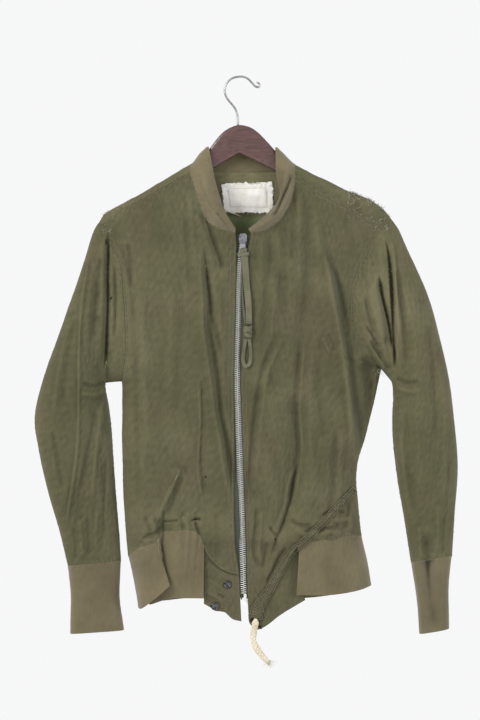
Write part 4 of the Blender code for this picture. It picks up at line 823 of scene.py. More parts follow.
def ripple(x, z, size, stretch, seed):
    """Soft uneven waves about `size` mm across and `stretch` times as long downwards."""
    rng = np.random.default_rng(seed)
    total = 0
    for _ in range(10):
        angle = rng.uniform(0, math.pi)
        wave = 2 * math.pi / (size * rng.uniform(0.7, 1.5))
        total = total + np.sin(wave * (x * math.cos(angle) + z / stretch * math.sin(angle))
                               + rng.uniform(0, 2 * math.pi))
    return total / math.sqrt(5)


def outward(grid, turned, ring=False):
    """Direction square to the cloth at each grid point, away from the wearer."""
    if ring:
        grid = np.concatenate([grid[:, -2:-1], grid, grid[:, 1:2]], 1)
    normal = np.cross(np.gradient(grid, axis=1), np.gradient(grid, axis=0))
    if ring:
        normal = normal[:, 1:-1]
    return unit(normal) * (-1 if turned else 1)


def edge_distance(grid, sides):
    """Distance along the cloth from each grid point to the nearest of the named sides, mm."""
    down, over = travelled(grid), travelled(grid.swapaxes(0, 1)).T
    gaps = {"top": down, "low": down[-1] - down, "first": over, "last": over[:, -1:] - over}
    return np.min([gaps[side] for side in sides.split()], axis=0), down, over


def trimmed(grid, normals, sides):
    """The grid drawn back by half a seam gap at the named sides, square to each seam."""
    out = grid.copy()
    pairs = {"top": (0, 1, 0), "low": (-1, -2, 0), "first": (0, 1, 1), "last": (-1, -2, 1)}
    for side in sides.split():
        edge, inner, axis = pairs[side]
        line, beyond = (grid[edge], grid[inner]) if axis == 0 else (grid[:, edge], grid[:, inner])
        upright = normals[edge] if axis == 0 else normals[:, edge]
        square = unit(np.cross(np.gradient(line, axis=0), upright))
        square *= np.sign(np.sum(square * (beyond - line), axis=1))[:, None]
        if axis == 0:
            out[edge] += SEAM_GAP / 2 * square
        else:
            out[:, edge] += SEAM_GAP / 2 * square
    return out


def wear_and_fold_shade(grid, normals):
    """How worn each place is and how much painted shade it takes, 0 to 1: high (worn pale) on the
    crests of folds, low (painted shade) in the hollows.
    """
    total = 0
    for reach, size in ((1, 0.3), (3, 1.1), (7, 3.5)):
        wide = np.pad(grid, ((reach, reach), (reach, reach), (0, 0)), mode="reflect",
                      reflect_type="odd")
        around = (wide[2 * reach:, reach:-reach] + wide[:-2 * reach, reach:-reach]
                  + wide[reach:-reach, 2 * reach:] + wide[reach:-reach, :-2 * reach]) / 4
        total = total + np.sum((grid - around) * normals, -1) / size
    return 0.5 + 0.5 * np.tanh(0.45 * total)


surfaces = {}


def shell(name, turned, thick, finishes, sides, ring=False,
          crumple=1.0, all_sides="top low first last"):
    """Cloth wall of a panel: washed waves, eased edges and puckers along its seams.

    `sides` are the sewn ones.
    """
    grid = grids[name]
    normals = outward(grid, turned, ring)
    x, z = grid[..., 0] + 0.8 * grid[..., 1], grid[..., 2]
    waves = (0.55 * ripple(x, z, 74, 1.7, 1) + 0.34 * ripple(x, z, 27, 3.2, 2)
             + 0.12 * ripple(x, z, 10, 1.6, 3))
    sewn, down, over = edge_distance(grid, sides or "top")
    pucker = 0.36 * ripple(x, z, 6.5, 1.0, 4) * np.exp(-sewn / 6)
    waves *= crumple * (1 - np.exp(-sewn / 9))
    free = (1 - np.exp(-(sewn / 1.2) ** 2))[..., None]       # nothing moves the seam line itself
    grid = grid + free * (waves + pucker)[..., None] * normals
    if ring:
        grid[:, -1] = grid[:, 0]
    normals = outward(grid, turned, ring)
    near = edge_distance(grid, all_sides)[0]
    half = thick / 2
    eased = half - np.sqrt(np.maximum(half**2 - np.maximum(half - near, 0) ** 2, 0))
    front = trimmed(grid, normals, sides)
    sunk = half * (1 - np.exp(-(sewn / 1.5) ** 2)) if sides else half + 0 * sewn
    outer = front + (half - eased - sunk)[..., None] * normals
    inner = front - (half - eased + sunk)[..., None] * normals
    surfaces[name] = (outer, normals)
    rows, columns = len(grid), grid.shape[1] - ring      # a ring's last column is its first
    count = rows * columns
    index = np.arange(count).reshape(rows, columns)
    if ring:
        index = np.hstack([index, index[:, :1]])
    a, b, c, d = index[:-1, :-1], index[:-1, 1:], index[1:, 1:], index[1:, :-1]
    quads = np.stack([a, b, c, d], -1).reshape(-1, 4)
    if turned:
        quads = quads[:, ::-1]
    faces = quads.tolist() + (quads[:, ::-1] + count).tolist()
    rims = [index[0, ::-1], index[-1]]
    if not ring:
        rims += [index[:, 0], index[::-1, -1]]
    for rim in rims:
        if turned:
            rim = rim[::-1]
        faces += np.stack([rim[:-1], rim[1:], rim[1:] + count, rim[:-1] + count], -1).tolist()
    inside = range(len(quads), 2 * len(quads)) if len(finishes) > 1 else ()
    vertices = np.concatenate([outer[:, :columns].reshape(-1, 3),
                               inner[:, :columns].reshape(-1, 3)])
    made = piece(name + "_cloth", vertices, faces, finishes, hides=[name],
                 second=list(inside))
    lie = np.stack([np.broadcast_to(over[:1], over.shape), down, wear_and_fold_shade(grid, normals)], -1)
    for attribute, kind, values in (("lie", "FLOAT_VECTOR", lie[:, :columns]),
                                    ("edge", "FLOAT", near[:, :columns])):
        field = made.data.attributes.new(attribute, kind, "POINT")
        key = "vector" if kind == "FLOAT_VECTOR" else "value"
        field.data.foreach_set(key, np.concatenate([values, values]).astype(np.float32).ravel())


def sateen(name, tone, fresh, above=None, pucker_shading=0):
    """Olive sateen, faded in patches and rubbed in slanting strokes, pale on worn crests and
    edges, with painted shade in the hollows of its folds, and on a casing painted light on its
    puckers and painted shade in its stitch furrows.
    """
    made = Finish(name, Roughness=0.88, Sheen_Weight=0.08, Sheen_Roughness=0.5,
                  Specular_IOR_Level=0.2)
    whole, x, y, z = made.place()
    _, down, wear_and_shade, edge = made.lie()
    slant = made.vector(0.83 * x - 0.56 * z + 0.5 * y, 0.13 * (0.56 * x + 0.83 * z), y * 0.3)
    strokes = made.cloud(slant, 0.0017, 3, 0.65)
    broad = made.cloud(slant, 0.0075, 2, 0.5)
    warp = made.cloud(made.vector(x + 0.8 * y, z * 0.12, y * 0.2), 0.0011, 2, 0.6)
    faded = made.cloud(whole, 0.11, 3, 0.55)
    warm = made.cloud(made.vector(x + 0.4, y, z * 0.8), 0.07, 3, 0.5)
    grain = made.cloud(whole, 0.0012, 2, 0.7)
    low, middle, high = tone
    colour = made.ramp(faded * 0.78 + broad * 0.22, (0.33, low), (0.5, middle), (0.66, high))
    colour = made.mix(warm.between(0.47, 0.66) * 0.30, colour, (0.140, 0.112, 0.066))
    if above:
        colour = made.mix(z.between(-0.226, -0.218), colour, above)
    # The fold term paints shade into the hollows and paler wear onto the crests.
    light = (0.40 + 0.42 * strokes + 0.44 * warp + 0.24 * grain + 0.62 * (wear_and_shade - 0.5)
             + 0.14 / (1 + (edge * 0.4) ** 2) - 0.34 / (1 + (edge * 1.4) ** 2))
    if pucker_shading:       # painted light on the puckers between the casing's stitches, painted shade in the furrows they lie in
        step = down.wave(pucker_shading)
        furrow_shade = 1 / (1 + ((edge - 3.2) * 1.3) ** 2)
        light = light * (0.98 + 0.42 * step * (1 - furrow_shade) - furrow_shade * (0.52 - 0.40 * step))
    colour = made.bright(colour, light * fresh)
    height = 0.45 * strokes + 0.35 * warp + 0.2 * grain
    return made.feed(Base_Color=colour, Roughness=0.80 + 0.16 * strokes,
                     Normal=made.relief(height, 0.0005, 0.55))


OLIVE = (0.104, 0.100, 0.049), (0.128, 0.121, 0.063), (0.154, 0.143, 0.080)
SATEEN = sateen("washed sateen", OLIVE, 0.67)
SATEEN_INSIDE = sateen("sateen inside", ((0.152, 0.190, 0.082), (0.178, 0.216, 0.098),
                                         (0.202, 0.236, 0.114)), 1.0, (0.142, 0.131, 0.071))
CLOTH = [SATEEN, SATEEN_INSIDE]
for name in ("front_right", "front_left"):
    shell(name, True, CLOTH_THICK, CLOTH, "top first low last")
shell("back", False, CLOTH_THICK, CLOTH, "top first low last")

# ----------------------------------------
# Sleeves: the same sateen in a front and a back piece each, set into the armholes and sewn along
# the outer and the inner edge. They hang flat, with deep creases that start under the arm.
RIGHT_SLEEVE = table("outer_x outer_z inner_x inner_z front back",
    (-230, -238, -189.5, -487, 30, 22), (-236, -250, -213, -489, 36, 26),
    (-249, -292, -216, -494, 40, 28), (-271, -358, -215, -505, 40, 29),
    (-296, -428, -211, -526, 39, 29), (-318, -492, -207, -560, 38, 29),
    (-329, -546, -204, -604, 36, 28), (-322, -600, -201, -648, 33, 27),
    (-306, -670, -197, -698, 30, 25), (-289, -728, -193.5, -740, 27, 23),
    (-276, -782, -191.5, -774, 24, 20))
LEFT_SLEEVE = table("outer_x outer_z inner_x inner_z front back",
    (249, -236, 226.5, -467, 30, 22), (256, -247, 243, -487, 36, 26),
    (266, -270, 247, -493, 40, 28), (282, -306, 247, -502, 40, 29),
    (302, -352, 246.5, -516, 39, 29), (321, -421, 245, -538, 38, 29),
    (334, -478, 245, -566, 37, 29), (343, -547, 248, -604, 34, 28),
    (349, -622, 254, -650, 31, 26), (344, -700, 264, -708, 28, 23),
    (340, -766, 274.5, -776, 24, 20))
RIGHT_SLEEVE_FOLDS = [
    (2.8, 2.2, 3.0, [(-240, -258), (-246.7, -318), (-251.2, -349), (-256, -421), (-257, -500),
     (-259, -581), (-265, -634), (-272.6, -680), (-277.3, -710), (-283, -733)]),
    (-6, 10, 12, [(-214, -272), (-211, -317), (-210, -356), (-213, -421), (-217, -470)]),
    (-7.5, 1.6, 2.6, [(-211, -240), (-212, -290), (-212, -340), (-213, -400), (-217, -476)]),
    (4.5, 8, 3, [(-217, -250), (-219, -300), (-219, -356), (-221, -410), (-225, -470)]),
    (-3.2, 2, 3, [(-203, -296), (-200, -330), (-199, -370), (-202, -420)]),
    (2.4, 2.5, 2.5, [(-207, -318), (-205, -352), (-205, -392)]),
    (6, 22, 16, [(-243, -294), (-253, -345), (-258, -395), (-252, -470), (-253, -540),
     (-261, -610), (-270, -660), (-281, -722)]),
    (-5, 10, 10, [(-229, -366), (-223, -411), (-219, -467), (-222, -540)]),
    (-2.6, 4, 5, [(-222, -280), (-226, -330), (-232, -380), (-236, -430)]),
    (2.0, 5, 5, [(-232, -286), (-238, -336), (-244, -390), (-246, -450)]),
    (-2.2, 5, 5, [(-262, -380), (-272, -430), (-280, -480), (-284, -530)]),
    (1.8, 4, 4, [(-274, -392), (-286, -450), (-294, -500), (-298, -550)]),
    (-2.4, 4, 6, [(-230, -520), (-238, -570), (-248, -620), (-256, -670)]),
    (2.2, 4, 5, [(-216, -500), (-224, -560), (-232, -620), (-238, -680)]),
    (-2.2, 4, 4, [(-300, -560), (-292, -610), (-284, -660)]),
    (-2.0, 4, 4, [(-214, -600), (-216, -650), (-218, -700), (-216, -745)]),
    (1.8, 4, 4, [(-228, -690), (-230, -725), (-229, -760)]),
    (-2.0, 3.5, 3.5, [(-244, -700), (-243, -735), (-241, -768)]),
    (1.8, 4, 4, [(-256, -704), (-254, -740), (-252, -770)]),
    (-1.8, 3.5, 3.5, [(-268, -716), (-264, -745), (-262, -774)]),
    (-2.2, 4, 4, [(-212, -486), (-232, -494), (-252, -490)]),
    (2.0, 4, 4, [(-210, -500), (-232, -508), (-254, -506)]),
]
LEFT_SLEEVE_FOLDS = [
    (-4, 9, 9, [(237, -272), (241, -322), (242, -380), (245, -427)]),
    (-10, 1.9, 2.3, [(231, -258), (234.6, -270), (238.6, -290), (241, -320), (243.7, -372),
     (245.6, -424), (247, -470)]),
    (-9, 2.0, 2.4, [(221, -316), (223, -326), (226, -346), (232.2, -375), (239.2, -407),
     (243, -440)]),
    (4.0, 8, 3, [(242, -262), (246, -290), (249, -320), (252, -372), (254, -424)]),
    (3.2, 6, 2.5, [(215, -322), (219, -352), (225, -388), (231, -424)]),
    (-5, 3, 5, [(206, -418), (216, -434), (228, -454), (238, -472)]),
    (-3, 2, 2, [(200, -396), (210, -412), (222, -432)]),
    (-6, 8, 8, [(222, -322), (228, -357), (237, -397), (242, -434)]),
    (7, 12, 24, [(258, -290), (266, -350), (280, -402), (281, -462), (284, -530), (288, -640),
     (293, -701)]),
    (-9, 8, 9, [(297, -722), (300, -775), (305, -830), (313, -888)]),
    (-2.4, 4, 5, [(252, -300), (256, -352), (262, -410), (264, -470)]),
    (2.0, 4, 4, [(206, -330), (214, -372), (224, -412), (236, -450)]),
    (-2.4, 4, 4, [(198, -346), (206, -386), (216, -424), (230, -458)]),
    (-2.4, 5, 5, [(300, -390), (306, -450), (310, -520), (312, -590)]),
    (1.8, 5, 5, [(318, -440), (324, -500), (328, -570), (328, -640)]),
    (-2.2, 5, 5, [(264, -520), (266, -590), (272, -650), (280, -710)]),
    (2.0, 4, 4, [(254, -560), (258, -610), (264, -660), (270, -710)]),
    (-2.2, 4, 4, [(334, -600), (332, -660), (328, -720)]),
    (1.8, 4, 4, [(318, -680), (316, -720), (314, -760)]),
    (-1.8, 3.5, 3.5, [(326, -700), (325, -735), (324, -765)]),
    (2.0, 3.5, 3.5, [(286, -716), (288, -745), (290, -772)]),
    (-2.0, 4, 4, [(248, -480), (266, -488), (288, -486)]),
    (1.8, 4, 4, [(247, -496), (268, -502), (290, -500)]),
]


def ring_half(section, face, q):
    """Half of a flattened ring: outer edge to inner edge over the front (-1) or the back (1)."""
    outer, inner, front, back = section[:2], section[2:4], section[4], section[5]
    flat = (outer + inner) / 2 + across(q)[:, None] * (inner - outer) / 2
    return np.stack([flat[:, 0], face * (front if face < 0 else back) * deep(q), flat[:, 1]], 1)


def tube_half(sections, start, columns, face, rows, folds, blend):
    """Half tube whose first ring is the line `start` and which takes on its sections below."""
    places = np.stack(list(sections.values()), 1)
    level = 2 * columns / columns[-1] - 1
    sewn = 2 * along(start) - 1
    keep = np.clip(1 - rows / blend, 0, 1) ** 2
    rings = np.array([ring_half(section, face, level + hold * (sewn - level))
                      for section, hold in zip(read(along(places[:, :4]), places, rows), keep)])
    rings = rings + keep[:, None, None] * (start - rings[0])[None]
    lift = folds if face < 0 else [(0.45 * rise, 1.3 * left, 1.3 * right, line)
                                   for rise, left, right, line in folds[3:]]
    room = np.minimum(1, 1.6 * deep(level)) * (1 - np.exp(-(rows[:, None] / 0.012) ** 2))
    rings[..., 1] += face * room * fold_rise(rings[..., 0], rings[..., 2], lift)
    return rings


SLEEVE_FRONT = steps(13, 8)        # 3 cells over the shoulder's tip and 10 down the armhole
SLEEVE_BACK = steps(12, 5)
SLEEVE_ROWS = steps(18, 10) / 18
sleeves = (("right", RIGHT_SLEEVE, RIGHT_SLEEVE_FOLDS, RIGHT_ARMHOLE, RIGHT_ARMHOLE_BACK,
            right_tip, right_side[0], (True, False)),
           ("left", LEFT_SLEEVE, LEFT_SLEEVE_FOLDS, LEFT_ARMHOLE, LEFT_ARMHOLE_BACK,
            left_tip, left_side[0], (False, True)))
# The left sleeve is made a little paler than the rest
PALER = sateen("paler sateen", OLIVE, 0.745)
for name, sections, folds, front_seam, back_seam, tip, armpit, turned in sleeves:
    over, below = back_armhole(back_seam, SLEEVE_BACK / 12)
    reach = part(SLEEVE_FRONT, 0, 3)[:, None]
    down_front = place(seam(front_seam, part(SLEEVE_FRONT, 3, 10)), -1)
    front_line = joined(over + reach * (tip - over), pinned(down_front, tip, armpit))
    back_line = pinned(below, None, armpit * (1, -1))
    for half, line, columns, face, flip, cut in (
            ("front", front_line, SLEEVE_FRONT, -1, turned[0], (0.317, 0.581, 0.078)),
            ("back", back_line, SLEEVE_BACK, 1, turned[1], (0.272, 0.577, 0.064))):
        node = "sleeve_%s_%s" % (name, half)
        grids[node] = tube_half(sections, skin(line), columns, face, SLEEVE_ROWS, folds, 0.34)
        shell(node, flip, CLOTH_THICK, [PALER if name == "left" else SATEEN, SATEEN_INSIDE],
              "top low first last")

# ----------------------------------------
# Knit trim: a doubled rib knit of olive cotton, 2 mm thick, sewn to the neck, the sleeves and the
# hem. Its ribs run square to the seam, and the body's cloth is gathered on to it.
KNIT_THICK = 2.0
# Collar: share of the neck seam from the right front end, the band's crest and its free edge
COLLAR = table("share crest_x crest_y crest_z edge_x edge_y edge_z",
    (0, -7.5, -42, -247, -6, -39, -243), (0.05, -25, -42, -234, -19, -38, -224),
    (0.10, -40, -38, -221, -27, -32, -207), (0.185, -51, -29, -189, -35, -25, -181),
    (0.25, -59, -23, -161, -41, -19, -158), (0.285, -63, -18, -144, -45, -15.5, -137),
    (0.305, -66, -13, -132, -49.5, -12.5, -114.5), (0.335, -67, -1, -124, -53, -1, -110.5),
    (0.365, -63, 11, -127, -56, 10.5, -113), (0.42, -38, 16, -134, -37, 13.5, -118),
    (0.487, 1, 16.5, -136, 1, 14, -120), (0.57, 42, 16, -134, 40, 13.5, -118),
    (0.645, 70, 11, -128, 61, 10.5, -113), (0.675, 74, -1, -125, 59, -1, -110.5),
    (0.70, 76, -13, -133, 57, -12.5, -114.5), (0.72, 80, -18, -146, 57, -15.5, -134),
    (0.75, 82, -22, -162, 57.5, -17, -153), (0.82, 74, -33, -197, 63, -23, -188),
    (0.905, 53, -42, -223, 46, -32, -215), (0.95, 38, -44, -235, 32, -36, -229),
    (1, 15, -42, -247, 13, -39, -243))
# Hem: share of its seam from the right front end, and its lower edge with the pleat
HEM = table("share x y z",
    (0, -58, -44, -833), (0.05, -86, -42, -833), (0.10, -118, -36, -835),
    (0.125, -145, -27, -843), (0.150, -112, -49, -813), (0.175, -134, -52, -832),
    (0.2, -156, -44, -848), (0.225, -163, -16, -850), (0.25, -158, 10, -846),
    (0.32, -110, 27, -839), (0.52, 10, 29, -836), (0.70, 130, 28, -834), (0.79, 190, 18, -822),
    (0.825, 211, -6, -814), (0.86, 196, -32, -819), (0.92, 152, -42, -827), (1, 90, -45, -828))
# Cuffs: sections like the sleeves', from just under the seam to the open end
RIGHT_CUFF = table("outer_x outer_z inner_x inner_z front back",
    (-273, -797, -193, -794, 22, 18), (-271, -830, -193.5, -832, 20, 17),
    (-272, -862, -189, -864, 20, 17), (-272.5, -892, -186, -886, 20, 17))
LEFT_CUFF = table("outer_x outer_z inner_x inner_z front back",
    (336, -786, 279, -800, 23, 18), (334, -820, 283, -832, 22, 17),
    (335, -855, 286, -865, 22, 17), (335, -884, 288, -892, 22, 17))


def rib_knit():
    """Olive rib knit: fine ribs across the band, stitches along them, faded and soiled, pale on
    worn crests, with painted shade in the hollows of its folds.
    """
    made = Finish("rib knit", Roughness=0.95, Sheen_Weight=0.3, Sheen_Roughness=0.6,
                  Specular_IOR_Level=0.2)
    whole, *_ = made.place()
    over, down, wear_and_shade, edge = made.lie()
    ribs = over.wave(1.9) * 0.5 + 0.5
    loops = (down * (2 * math.pi / 1.3) + ribs * 2.2).sine() * 0.5 + 0.5
    fuzz = made.cloud(whole, 0.0011, 3, 0.7)
    broad = made.cloud(whole, 0.045, 3, 0.55)
    streak = made.cloud(made.vector(over * 0.001, down * 0.00012, 0.0), 0.0022, 2, 0.5)
    colour = made.ramp(broad, (0.32, (0.160, 0.130, 0.063)), (0.55, (0.196, 0.161, 0.083)),
                       (0.7, (0.226, 0.186, 0.097)))
    # The fold term paints shade into the hollows and paler wear onto the crests.
    light = 0.645 * (0.55 + 0.18 * ribs + 0.10 * loops + 0.26 * fuzz + 0.26 * streak
                     + 0.40 * (wear_and_shade - 0.5) + 0.10 / (1 + (edge * 0.7) ** 2))
    height = 0.6 * ribs + 0.22 * loops + 0.18 * fuzz
    return made.feed(Base_Color=made.bright(colour, light), Roughness=0.86 + 0.1 * fuzz,
                     Normal=made.relief(height, 0.0006, 0.6))


KNIT = [rib_knit()]

neck_line = joined(grids["front_right"][0][FRONT_COLUMNS >= 9][::-1],
                   grids["back"][0][(BACK_COLUMNS >= 9) & (BACK_COLUMNS <= 21)],
                   grids["front_left"][0][FRONT_COLUMNS <= 6][::-1])
neck_share = along(neck_line)
crest, free = (read(COLLAR["share"], column_points(COLLAR, columns), neck_share)
               for columns in ("crest_x crest_y crest_z", "edge_x edge_y edge_z"))
collar_rows = steps(5, 6) / 5
grids["collar"] = np.moveaxis(np.array([smooth([a, b, c], collar_rows)
                                        for a, b, c in zip(neck_line, crest, free)]), 0, 1)
# The band has folded in over itself on the left, and a little at the right front's end
COLLAR_FOLDS = [
    (-7, 2.4, 5.5, [(81, -150), (79.5, -160), (74, -178), (69, -191), (61, -210), (48, -229)]),
    (2.6, 3, 2.2, [(74, -150), (73, -166), (69, -182), (63, -196), (54, -213), (44, -225)]),
    (-2.6, 2.4, 2.4, [(-38, -216), (-31, -226), (-22, -236), (-14, -243)]),
    (1.8, 2.4, 2.4, [(-43, -214), (-36, -226), (-26, -238)]),
    (-1.2, 2, 3, [(-66, -150), (-60, -176), (-50, -200), (-40, -218)]),
]
band = grids["collar"]
facing = np.clip(-band[..., 1] / 8, 0, 1)
band[..., 1] -= facing * fold_rise(band[..., 0], band[..., 2], COLLAR_FOLDS)
shell("collar", True, KNIT_THICK, KNIT, "top",
      crumple=0.5)

hem_line = joined(grids["front_right"][-1][FRONT_COLUMNS <= 9][::-1], grids["back"][-1],
                  grids["front_left"][-1][FRONT_COLUMNS >= 7][::-1])
hem_low = read(HEM["share"], column_points(HEM, "x y z"), along(hem_line))
hem_rows = (steps(4, 6) / 4)[:, None, None]
grids["hem_rib"] = hem_line[None] * (1 - hem_rows) + hem_low[None] * hem_rows
shell("hem_rib", False, KNIT_THICK, KNIT, "top",
      crumple=0.7)

for name, sections, folds, turned in (("right", RIGHT_CUFF, RIGHT_SLEEVE_FOLDS, True),
                                      ("left", LEFT_CUFF, LEFT_SLEEVE_FOLDS, False)):
    halves = [tube_half(sections, grids["sleeve_%s_%s" % (name, half)][-1], columns, face,
                        steps(4, 9) / 4, folds, 0.7)
              for half, columns, face in (("front", SLEEVE_FRONT, -1), ("back", SLEEVE_BACK, 1))]
    grids["cuff_" + name] = np.concatenate([halves[0], halves[1][:, ::-1][:, 1:]], axis=1)
    shell("cuff_" + name, turned, KNIT_THICK, KNIT, "top",
          ring=True, all_sides="top low", crumple=0.5)

# ----------------------------------------
# Tail and tab: below the casing the left front runs on to a point, tucked behind the hem's end;
# below the right front hangs a tab of the same sateen, its low corner turned up and sewn flat.
TAIL_LOW = table("x z", (29, -883), (38, -879), (64, -860), (104, -836))
TAIL_ZIP = table("x z", (12.5, -856), (16, -874), (29, -883))
TAB_TOP = table("x z",
    (-57.6, -742), (-50, -757), (-40, -770), (-27, -781), (-12, -787), (0, -789))
TAB_LOW = table("x z",
    (-57, -842), (-47, -848), (-40, -853), (-32, -854), (-26, -855), (-11, -867), (1, -870))
TAB_FOLDS = [
    (-2.2, 10, 4, [(-62, -826), (-42, -836), (-31, -850), (-24, -860)]),
    (-1.5, 2.2, 2.2, [(-56, -764), (-44, -776), (-26, -788), (-4, -794)]),
    (1.2, 3, 3, [(-55, -800), (-36, -812), (-18, -832), (-6, -858)]),
    (-1.6, 1.6, 1.6, [(-35, -826), (-30, -829), (-25, -833)]),
    (1.0, 2, 2, [(-56, -822), (-38, -831), (-20, -846), (-2, -862)]),
]

tail_columns, tail_rows = FRONT_COLUMNS[FRONT_COLUMNS <= 7], steps(4, 9)
seam_line = grids["front_left"][-1][:len(tail_columns)][:, [0, 2]]
top = place(seam_line, -1)
left = pinned(place(seam(TAIL_ZIP, tail_rows / 4), -1), top[0])
right = seam_line[-1] + (tail_rows / 4)[:, None] * ((104, -836) - seam_line[-1])
right = pinned(place(right, -1), top[-1])
low = pinned(place(seam(TAIL_LOW, tail_columns / 7), -1), left[-1], right[-1])
tail = skin(patch(top, low, left, right, tail_columns))
tail[1:, :, 1] += np.clip((tail[1:, :, 0] - 70) / 14, 0, 1) * 3.6
grids["front_tail"] = tail
shell("front_tail", True, CLOTH_THICK, CLOTH, "top")

tab_columns, tab_rows = steps(7, 10), steps(6, 12)
z = -789 - 81 * tab_rows / 6
left = place(np.stack([np.full(len(z), -57.6), -742 - 100 * tab_rows / 6], 1), -1)
right = place(np.stack([zip_middle(z) - read(OPENING["z"], OPENING["half"], z) - 0.3, z], 1), -1)
top = pinned(place(seam(TAB_TOP, tab_columns / 7), -1), left[0], right[0])
low = pinned(place(seam(TAB_LOW, tab_columns / 7), -1), left[-1], right[-1])
tab = skin(patch(top, low, left, right, tab_columns))
tab[..., 1] += 2.55 - fold_rise(tab[..., 0], tab[..., 2], TAB_FOLDS)
grids["snap_tab"] = tab
shell("snap_tab", True, 1.4, CLOTH, "top")


def ground(*names):
    """What those pieces look like to a ray, for laying others on them."""
    points, faces = [], []
    for name in names:
        mesh = bpy.data.objects[name].data
        first = len(points)
        faces += [tuple(first + k for k in face.vertices) for face in mesh.polygons]
        points += [vertex.co for vertex in mesh.vertices]
    return BVHTree.FromPolygons(points, faces)


def foremost(tree, x, z, reach=0.0, limit=5.0):
    """How far forward the pieces stand at a place (x, z), or within a reach of it, in mm."""
    around = (-reach, 0, reach) if reach else (0,)
    hits = [tree.ray_cast(Vector(((x + i) * MM, -0.3, (z + k) * MM)), Vector((0, 1, 0)))[0]
            for i in around for k in around]
    found = [hit.y / MM for hit in hits if hit is not None and hit.y < limit * MM]
    return min(found) if found else np.nan


# ----------------------------------------
# Casing: a doubled strip of sateen sewn over the seam below the left front, with the drawcord
# inside. The cord has drawn it up, so it stands proud between its rows of stitches and puckers.
CASING_LINE = table("x z half",
    (184, -659, 5.5), (164, -678, 6), (142, -701, 6), (120, -724, 6), (101, -742, 6),
    (85, -757, 6), (69, -780, 6), (57, -802, 6.5), (43, -826, 8), (32, -842, 9.8),
    (26, -856, 11), (25, -867, 12))
CASING_LAY = 0.7
CASING_CELLS, CASING_RUN = 230, 272     # cells along it, and mm
GATHER = 4.1                            # mm from one pucker to the next


def levelled(values, reach):
    """Values along a line, each the mean of those up to `reach` places from it."""
    padded = np.pad(values, ((reach, reach),) + ((0, 0),) * (values.ndim - 1), mode="edge")
    return sum(padded[k:k + len(values)] for k in range(2 * reach + 1)) / (2 * reach + 1)


# The casing's sateen has painted light on its puckers and painted shade in its stitch furrows.
SATEEN_CASING = sateen("gathered sateen", ((0.100, 0.096, 0.051), (0.124, 0.117, 0.064),
                                           (0.148, 0.137, 0.082)), 0.74, pucker_shading=GATHER)
front_ground = ground("front_left_cloth", "front_right_cloth", "front_tail_cloth", "hem_rib_cloth",
                      "snap_tab_cloth")
line = column_points(CASING_LINE)
casing_line = smooth(line, even(CASING_CELLS))
half = read(along(line), CASING_LINE["half"], even(CASING_CELLS))
tangent = unit(np.gradient(casing_line, axis=0))
run = even(CASING_CELLS) * CASING_RUN
half *= 1 + 0.05 * np.sin(run / 2.1) + 0.04 * np.sin(run / 3.7 + 1)
spread = np.linspace(-1, 1, 17)
casing = np.zeros((CASING_CELLS + 1, len(spread), 3))
casing[..., 0] = casing_line[:, :1] - tangent[:, 1:] * half[:, None] * spread
casing[..., 2] = casing_line[:, 1:] + tangent[:, :1] * half[:, None] * spread
under = np.array([[foremost(front_ground, *spot[[0, 2]], 2.0) for spot in row] for row in casing])
for row in under:
    known = ~np.isnan(row)
    row[:] = np.interp(spread, spread[known], row[known])
under = np.minimum(under, levelled(under, 3))
pucker = (1.1 * np.sin(run * 2 * math.pi / GATHER + 0.8 * np.sin(run / 9))[:, None]
          * (1 - spread ** 2) ** 0.5 + 0.4 * np.sin(run / 2.3 + 0.7)[:, None] * (1 - spread ** 2))
casing[..., 1] = under - CASING_LAY - CLOTH_THICK - 1.5 * (1 - spread ** 4) - 0.75 * pucker
grids["casing"] = casing
shell("casing", True, CLOTH_THICK, [SATEEN_CASING, SATEEN_INSIDE], "top",
      crumple=0.0)

# Painted shade: a near-black finish standing for the shade inside holes, slits and deep creases.
HOLE_SHADE = Finish("painted hole shade", Roughness=1.0)
fibre = HOLE_SHADE.cloud(HOLE_SHADE.place()[0], 0.001)
HOLE_SHADE.feed(Base_Color=HOLE_SHADE.ramp(fibre, (0.3, (0.006, 0.005, 0.004)), (0.7, (0.018, 0.015, 0.010))))


def hole_shade_patches(name, under, spots):
    """Painted shade of holes and slits in the cloth: dark spots just proud of it, each (x, z, half
    width, height, tilt).
    """
    holes, around = Heap(), circle(20)
    for x, z, wide, high, tilt in spots:
        ring = np.stack([wide * np.cos(around), high * np.sin(around)], 1)
        ring = ring @ np.array([[math.cos(tilt), math.sin(tilt)],
                                [-math.sin(tilt), math.cos(tilt)]])
        y = np.array([[foremost(under, x + size * px, z + size * pz) for px, pz in ring]
                      for size in (0.2, 0.7, 1.0)])
        y = np.where(np.isnan(y), np.nanmean(y), y)
        rings = [np.stack([x + size * ring[:, 0], level - out, z + size * ring[:, 1]], 1)
                 for size, level, out in zip((0.2, 0.7, 1.0), y, (0.25, 0.3, 0.05))]
        holes.add(np.concatenate(rings), tube_faces(3, 20))
    piece(name, holes.points(), holes.faces, [HOLE_SHADE])


# Painted shade in the drawcord's two holes, and in small holes and slits in deep creases of the
# fronts and the right sleeve.
hole_shade_patches("cord_holes", ground("casing_cloth", "front_tail_cloth", "front_left_cloth"),
           ((18.8, -867, 2.6, 4.2, -0.5), (32.5, -879, 2.2, 3.6, 0.6)))
hole_shade_patches("wear_holes", ground("front_right_cloth", "sleeve_right_front_cloth",
                                "front_left_cloth"),
           ((-54.7, -639, 1.5, 1.5, 0), (-214.3, -264, 1.3, 5.0, 0.1),
            (-206, -354, 1.4, 3.4, -0.6), (56.5, -739, 0.8, 3.0, 0.6),
            (-70.6, -707, 4.6, 1.1, 0.1)))

